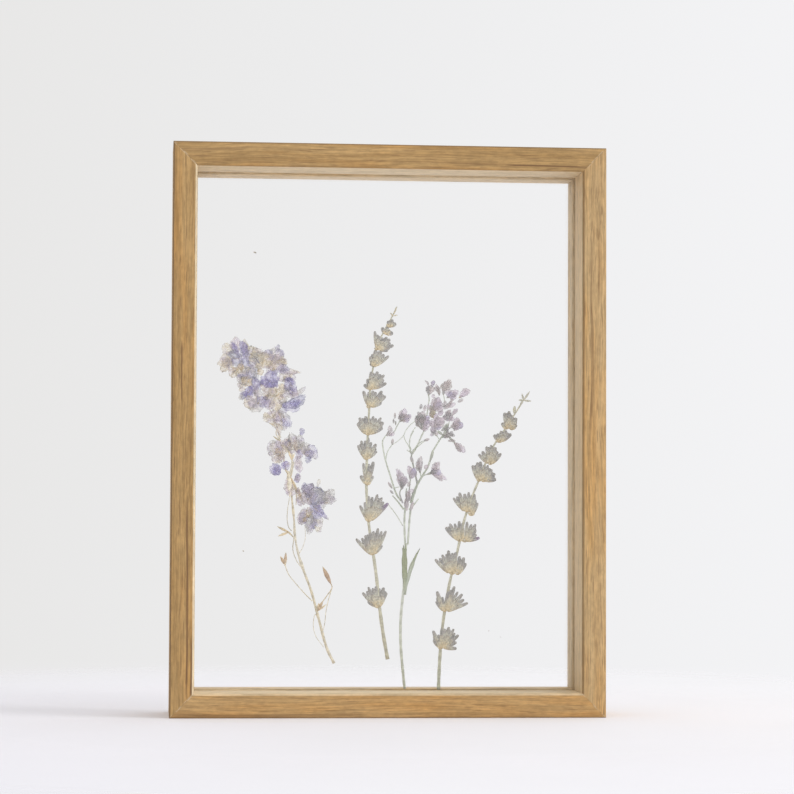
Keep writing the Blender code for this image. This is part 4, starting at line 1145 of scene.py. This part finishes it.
sprig("spray_fork_right", "spray_branch_right", "spray_green", spray_green, spray_tints, [
    ([(12.1, 97.6), (13.5, 101.8), (14.7, 105.3), (16.7, 108.9), (19.5, 113.5), (20.7, 116.7),
      (21.6, 120.3), (23.4, 123.5), (25.2, 126.4), (27, 129)], (1.26, 0.7), 0.7, "green green stalk green"),
    ([(17.1, 109.6), (19.1, 110.3), (21.1, 110.8)], (0.56, 0.56), 0.6, "stalk green"),
    ([(27.4, 128.5), (30.2, 127.1), (32.4, 124.5)], (0.49, 0.49), 0.6, "green stalk"),
    ([(25.2, 126.4), (23.7, 128.4), (22.4, 129.8)], (0.49, 0.49), 0.6, "stalk green"),
    ([(16.7, 108.9), (16.3, 110.5), (16.3, 112.1)], (0.49, 0.49), 0.6, "green green"),
    ([(12.8, 121.1), (15.4, 125.2), (17.7, 129.8), (18.6, 131)], (0.56, 0.42), 0.55, "stalk pale"),
    ([(11.9, 121.7), (11, 124.6), (11.6, 127.5), (13.1, 130.4)], (0.49, 0.42), 0.55, "stalk pale"),
    ([(9.9, 121.6), (11.2, 120.8), (12.5, 120.5)], (0.42, 0.56), 0.55, "stalk pale"),
    ([(14.5, 122.8), (17.4, 125.2), (18.9, 126.4)], (0.49, 0.42), 0.55, "stalk pale"),
    ([(26.5, 127.3), (28.8, 131.7), (29.7, 135.7)], (0.56, 0.42), 0.6, "green stalk"),
    ([(29.7, 131.7), (32.6, 134), (33.2, 136)], (0.49, 0.42), 0.6, "green stalk"),
    ([(22.7, 131.6), (24.4, 133.9)], (0.42, 0.42), 0.6, "green stalk"),
    ([(20.3, 144.4), (20, 147.3)], (0.49, 0.42), 0.6, "green stalk"),
    ([(27, 141.5), (27.3, 145), (26.7, 147.9)], (0.49, 0.42), 0.6, "green stalk"),
], [
    ((20.7, 116.3), (22.3, 121.8), 1.3, 0.5, "sepal green"),
    ((26.9, 128.4), (28.9, 131.6), 1.7, 0.5, "sepal green"),
    ((26.7, 128.6), (24, 130.6), 1.3, 0.5, "sepal green"),
    ((28.2, 128.5), (31.8, 129), 1.4, 0.5, "sepal dusk"),
    ((29.2, 127.9), (32.4, 125), 1.1, 0.5, "sepal green"),
    ((19.2, 110.4), (21.9, 111.1), 1.2, 0.5, "sepal green"),
    ((26.9, 131.4), (29.4, 133.4), 1.2, 0.5, "sepal green"),
    ((26.7, 147.2), (27.2, 149.9), 1.4, 0.5, "sepal dusk"),
    ((20, 146.8), (20, 149.4), 1.2, 0.5, "sepal dusk"), ((25, 147), (23.6, 151), 1.1, 0.5, "sepal sepal"),
    ((28.4, 145.8), (30.2, 147.2), 1.2, 0.5, "sepal dusk"),
    ((34, 145.9), (36.2, 147.2), 1.1, 0.5, "gold sepal"),
    ((28.4, 135.6), (29.4, 138), 1.2, 0.5, "sepal dusk"),
    ((31.8, 130.6), (32.6, 133.2), 1.2, 0.5, "sepal green"),
    ((22, 128.9), (22.8, 130.6), 1.1, 0.5, "sepal dusk"),
    ((23, 138), (20.6, 142.4), 1.7, 0.5, "gold sepal"),
    ((23, 137.8), (22.1, 142.8), 1.3, 0.5, "sepal gold"),
], bud_profile)

spray_florets = {
    "left": [
        (1, 128.5, 2, 133, 1.8, "dusk mauve"), (1.5, 128.5, 4, 130, 1.8, "mauve lilac"),
        (1.5, 129, 0.5, 128, 1.2, "sepal mauve"), (1.5, 129, 3, 128, 1.4, "mauve lilac"),
        (7, 135, 9, 141, 2.6, "mauve lilac"), (7.5, 135.5, 12, 138, 2.6, "dusk lilac"),
        (7.5, 135.5, 11, 135, 2.2, "mauve violet"), (7.5, 136, 6, 137.5, 2, "sepal mauve"),
        (7, 135, 8, 138.5, 2, "sepal dusk"), (7.5, 135, 9, 135, 1.4, "sepal mauve"),
    ],
    "crown": [
        (15, 132.5, 17, 138, 3.2, "grey mauve"), (18, 132.5, 18.5, 137.5, 3.4, "mauve lilac"),
        (16.5, 131.5, 20, 132.5, 2.4, "mauve lilac"), (16.5, 131.5, 21, 135, 2.8, "mauve lilac"),
        (16.5, 132, 20, 138, 2.8, "mauve violet"), (16.5, 132, 17.5, 140, 3, "sepal mauve"),
        (16.5, 132, 15, 139.5, 2.4, "sepal grey"), (16.5, 132, 14.5, 135, 2.2, "sepal sepal"),
        (16, 140.5, 16.5, 143, 1.3, "sepal dusk"), (18, 139.5, 18.5, 142.5, 1.3, "mauve dusk"),
        (20, 140.5, 19.5, 143, 1.2, "mauve lilac"), (16.5, 133, 17, 137, 2, "sepal dusk"),
    ],
    "top": [
        (23.5, 135.5, 22.5, 139, 2.6, "pink lilac"), (22, 136.5, 21.5, 140, 2, "gold mauve"),
        (26, 141.5, 28, 144.5, 1.6, "dusk mauve"), (20.5, 147.5, 21, 152, 2.4, "mauve beige"),
        (22, 151.5, 22.5, 154, 1.6, "dusk mauve"), (25, 147, 23.5, 151.5, 1.4, "sepal dusk"),
        (22.5, 138.5, 20.5, 142, 2.6, "gold beige"), (22.5, 138, 22, 141.5, 1.8, "sepal gold"),
        (24.5, 140, 23.5, 146, 2.9, "pink lilac"), (25, 137.5, 26.5, 140, 2.2, "lilac pink"),
        (27, 141.5, 31, 144.5, 1.4, "sepal dusk"), (20, 147.5, 19.5, 151.5, 1.5, "sepal dusk"),
        (20, 151, 18, 154, 0.8, "dusk mauve"), (21.5, 150.5, 22.5, 154, 1.5, "dusk violet"),
        (25, 147.5, 23.5, 152.5, 1.6, "sepal mauve"), (26.5, 149, 30, 154.5, 3.4, "mauve beige"),
        (27, 149, 27, 153, 2.2, "beige cream"), (29, 146.5, 29.5, 150, 2.4, "violet mauve"),
        (29, 146.5, 34, 149, 2.8, "violet lilac"), (29, 146.5, 33, 146, 2.4, "mauve violet"),
        (34.5, 146.5, 39.5, 149.5, 2.8, "lilac pink"), (33.5, 144, 36, 145.5, 1.4, "sepal mauve"),
        (22.5, 140, 24.5, 146.5, 3, "mauve lilac"), (22.5, 140.5, 27, 141.5, 2.4, "mauve lilac"),
        (22.5, 140.5, 25.5, 144, 2.4, "lilac violet"), (22, 136.5, 22.5, 142.5, 1.5, "gold sepal"),
        (31, 145.5, 27, 140.5, 1.6, "mauve dusk"), (29, 141.5, 32.5, 143.5, 1.6, "pink lilac"),
        (22.5, 147.5, 21.5, 146, 1.4, "mauve lilac"),
    ],
    "right": [
        (22.5, 134, 26.5, 136, 3.4, "pink cream"), (28, 135.5, 31, 138.5, 2.8, "mauve dusk"),
        (31, 137.5, 33.5, 140.5, 1.2, "pink mauve"), (32.5, 131.5, 33.5, 136.5, 2.6, "mauve pink"),
        (21, 130, 23.5, 131.5, 2.2, "mauve dusk"), (27, 127.5, 30, 129.5, 2, "sepal dusk"),
        (28, 128.5, 31.5, 128.5, 1.6, "sepal grey"), (29, 136.5, 30, 140.5, 2.4, "dusk mauve"),
        (29, 136.5, 32, 136.5, 2.2, "mauve lilac"), (29, 136.5, 26.5, 137.5, 2, "mauve dusk"),
        (29, 136.5, 29, 135, 1.8, "dusk lilac"), (31, 138, 33.5, 141, 1.6, "mauve lilac"),
        (22, 132, 21.5, 136, 2.6, "mauve lilac"), (22.5, 132, 27.5, 137, 3, "mauve lilac"),
        (22.5, 132, 26, 132, 2.2, "dusk violet"), (22.5, 129.5, 21.5, 132.5, 2.2, "dusk lilac"),
        (22.5, 129.5, 24.5, 129, 1.8, "sepal mauve"), (22.5, 129.5, 20.5, 128.5, 1.4, "sepal lilac"),
        (32, 131, 33.5, 137, 2.8, "mauve lilac"), (32, 131, 36, 134.5, 2.6, "mauve violet"),
        (32, 131.5, 31, 134, 2, "dusk mauve"), (26, 130.5, 29, 134, 1.8, "sepal green"),
        (27, 131, 30, 132, 1.8, "sepal dusk"), (30, 128.5, 31, 130.5, 1.5, "sepal dusk"),
        (28, 129.5, 29, 131, 1.4, "sepal dusk"), (31, 128, 32, 129, 1.3, "sepal dusk"),
        (29, 126, 32.5, 126, 1.2, "sepal grey"), (32, 125, 37, 120.5, 2.6, "mauve lilac"),
        (32.5, 124.5, 35, 121, 1.8, "beige mauve"),
    ],
    "low": [
        (8, 104, 5, 113, 2.6, "mauve lilac"), (8, 104.5, 7.5, 109.5, 2.2, "dusk mauve"),
        (8, 104.5, 9.5, 109.5, 2.2, "mauve lilac"), (11.5, 108.5, 10.5, 114.5, 2.4, "mauve lilac"),
        (12, 108.5, 13.5, 113.5, 2.2, "mauve violet"), (16, 111.5, 16.5, 119, 2, "dusk mauve"),
        (15, 112, 15, 115, 1.4, "sepal mauve"), (18, 113, 20, 114.5, 1.6, "mauve lilac"),
        (10.5, 104.5, 11, 107, 1.3, "sepal mauve"), (10, 101.5, 13, 103.5, 1.8, "mauve lilac"),
        (8, 103.5, 6.5, 107.5, 1.6, "sepal dusk"), (9.5, 97, 10.5, 102.5, 2.2, "dusk mauve"),
    ],
    "trumpet": [
        (21, 111, 25, 116.5, 2.4, "mauve lilac"), (21, 111, 28.5, 108, 2.4, "mauve lilac"),
        (21, 111, 26, 112, 2.6, "mauve violet"), (20.5, 111, 24, 111.5, 1.6, "sepal dusk"),
    ],
}
for seed, (part, rows) in enumerate(spray_florets.items(), start=70):
    floret("spray_bloom_" + part, seed, rows, spray_papery, spray_tints, "spray_flower_" + part,
           "lilac_petal", twinned=2.4, lean=14, back=0.5, spread=1.21)

# ---------------------------------------------------------------------------
# Crumbs: specks of dried plant that fell between the sheets of glass.
# ---------------------------------------------------------------------------
bm = start_sprig()
for base, tip, width in (((-61.7, 212.5), (-60.1, 212), 0.7), ((-65.7, 74.8), (-65, 74.4), 0.6),
                         ((48, 38.3), (48.5, 38.1), 0.35), ((53.6, 35.5), (54.1, 35.3), 0.35)):
    add_husk(bm, base, tip, width, 0.5, tints_of(lavender_tints, "warm dusk"))
finish_sprig("crumbs", bm, lavender_stalk, "lavender_stem")
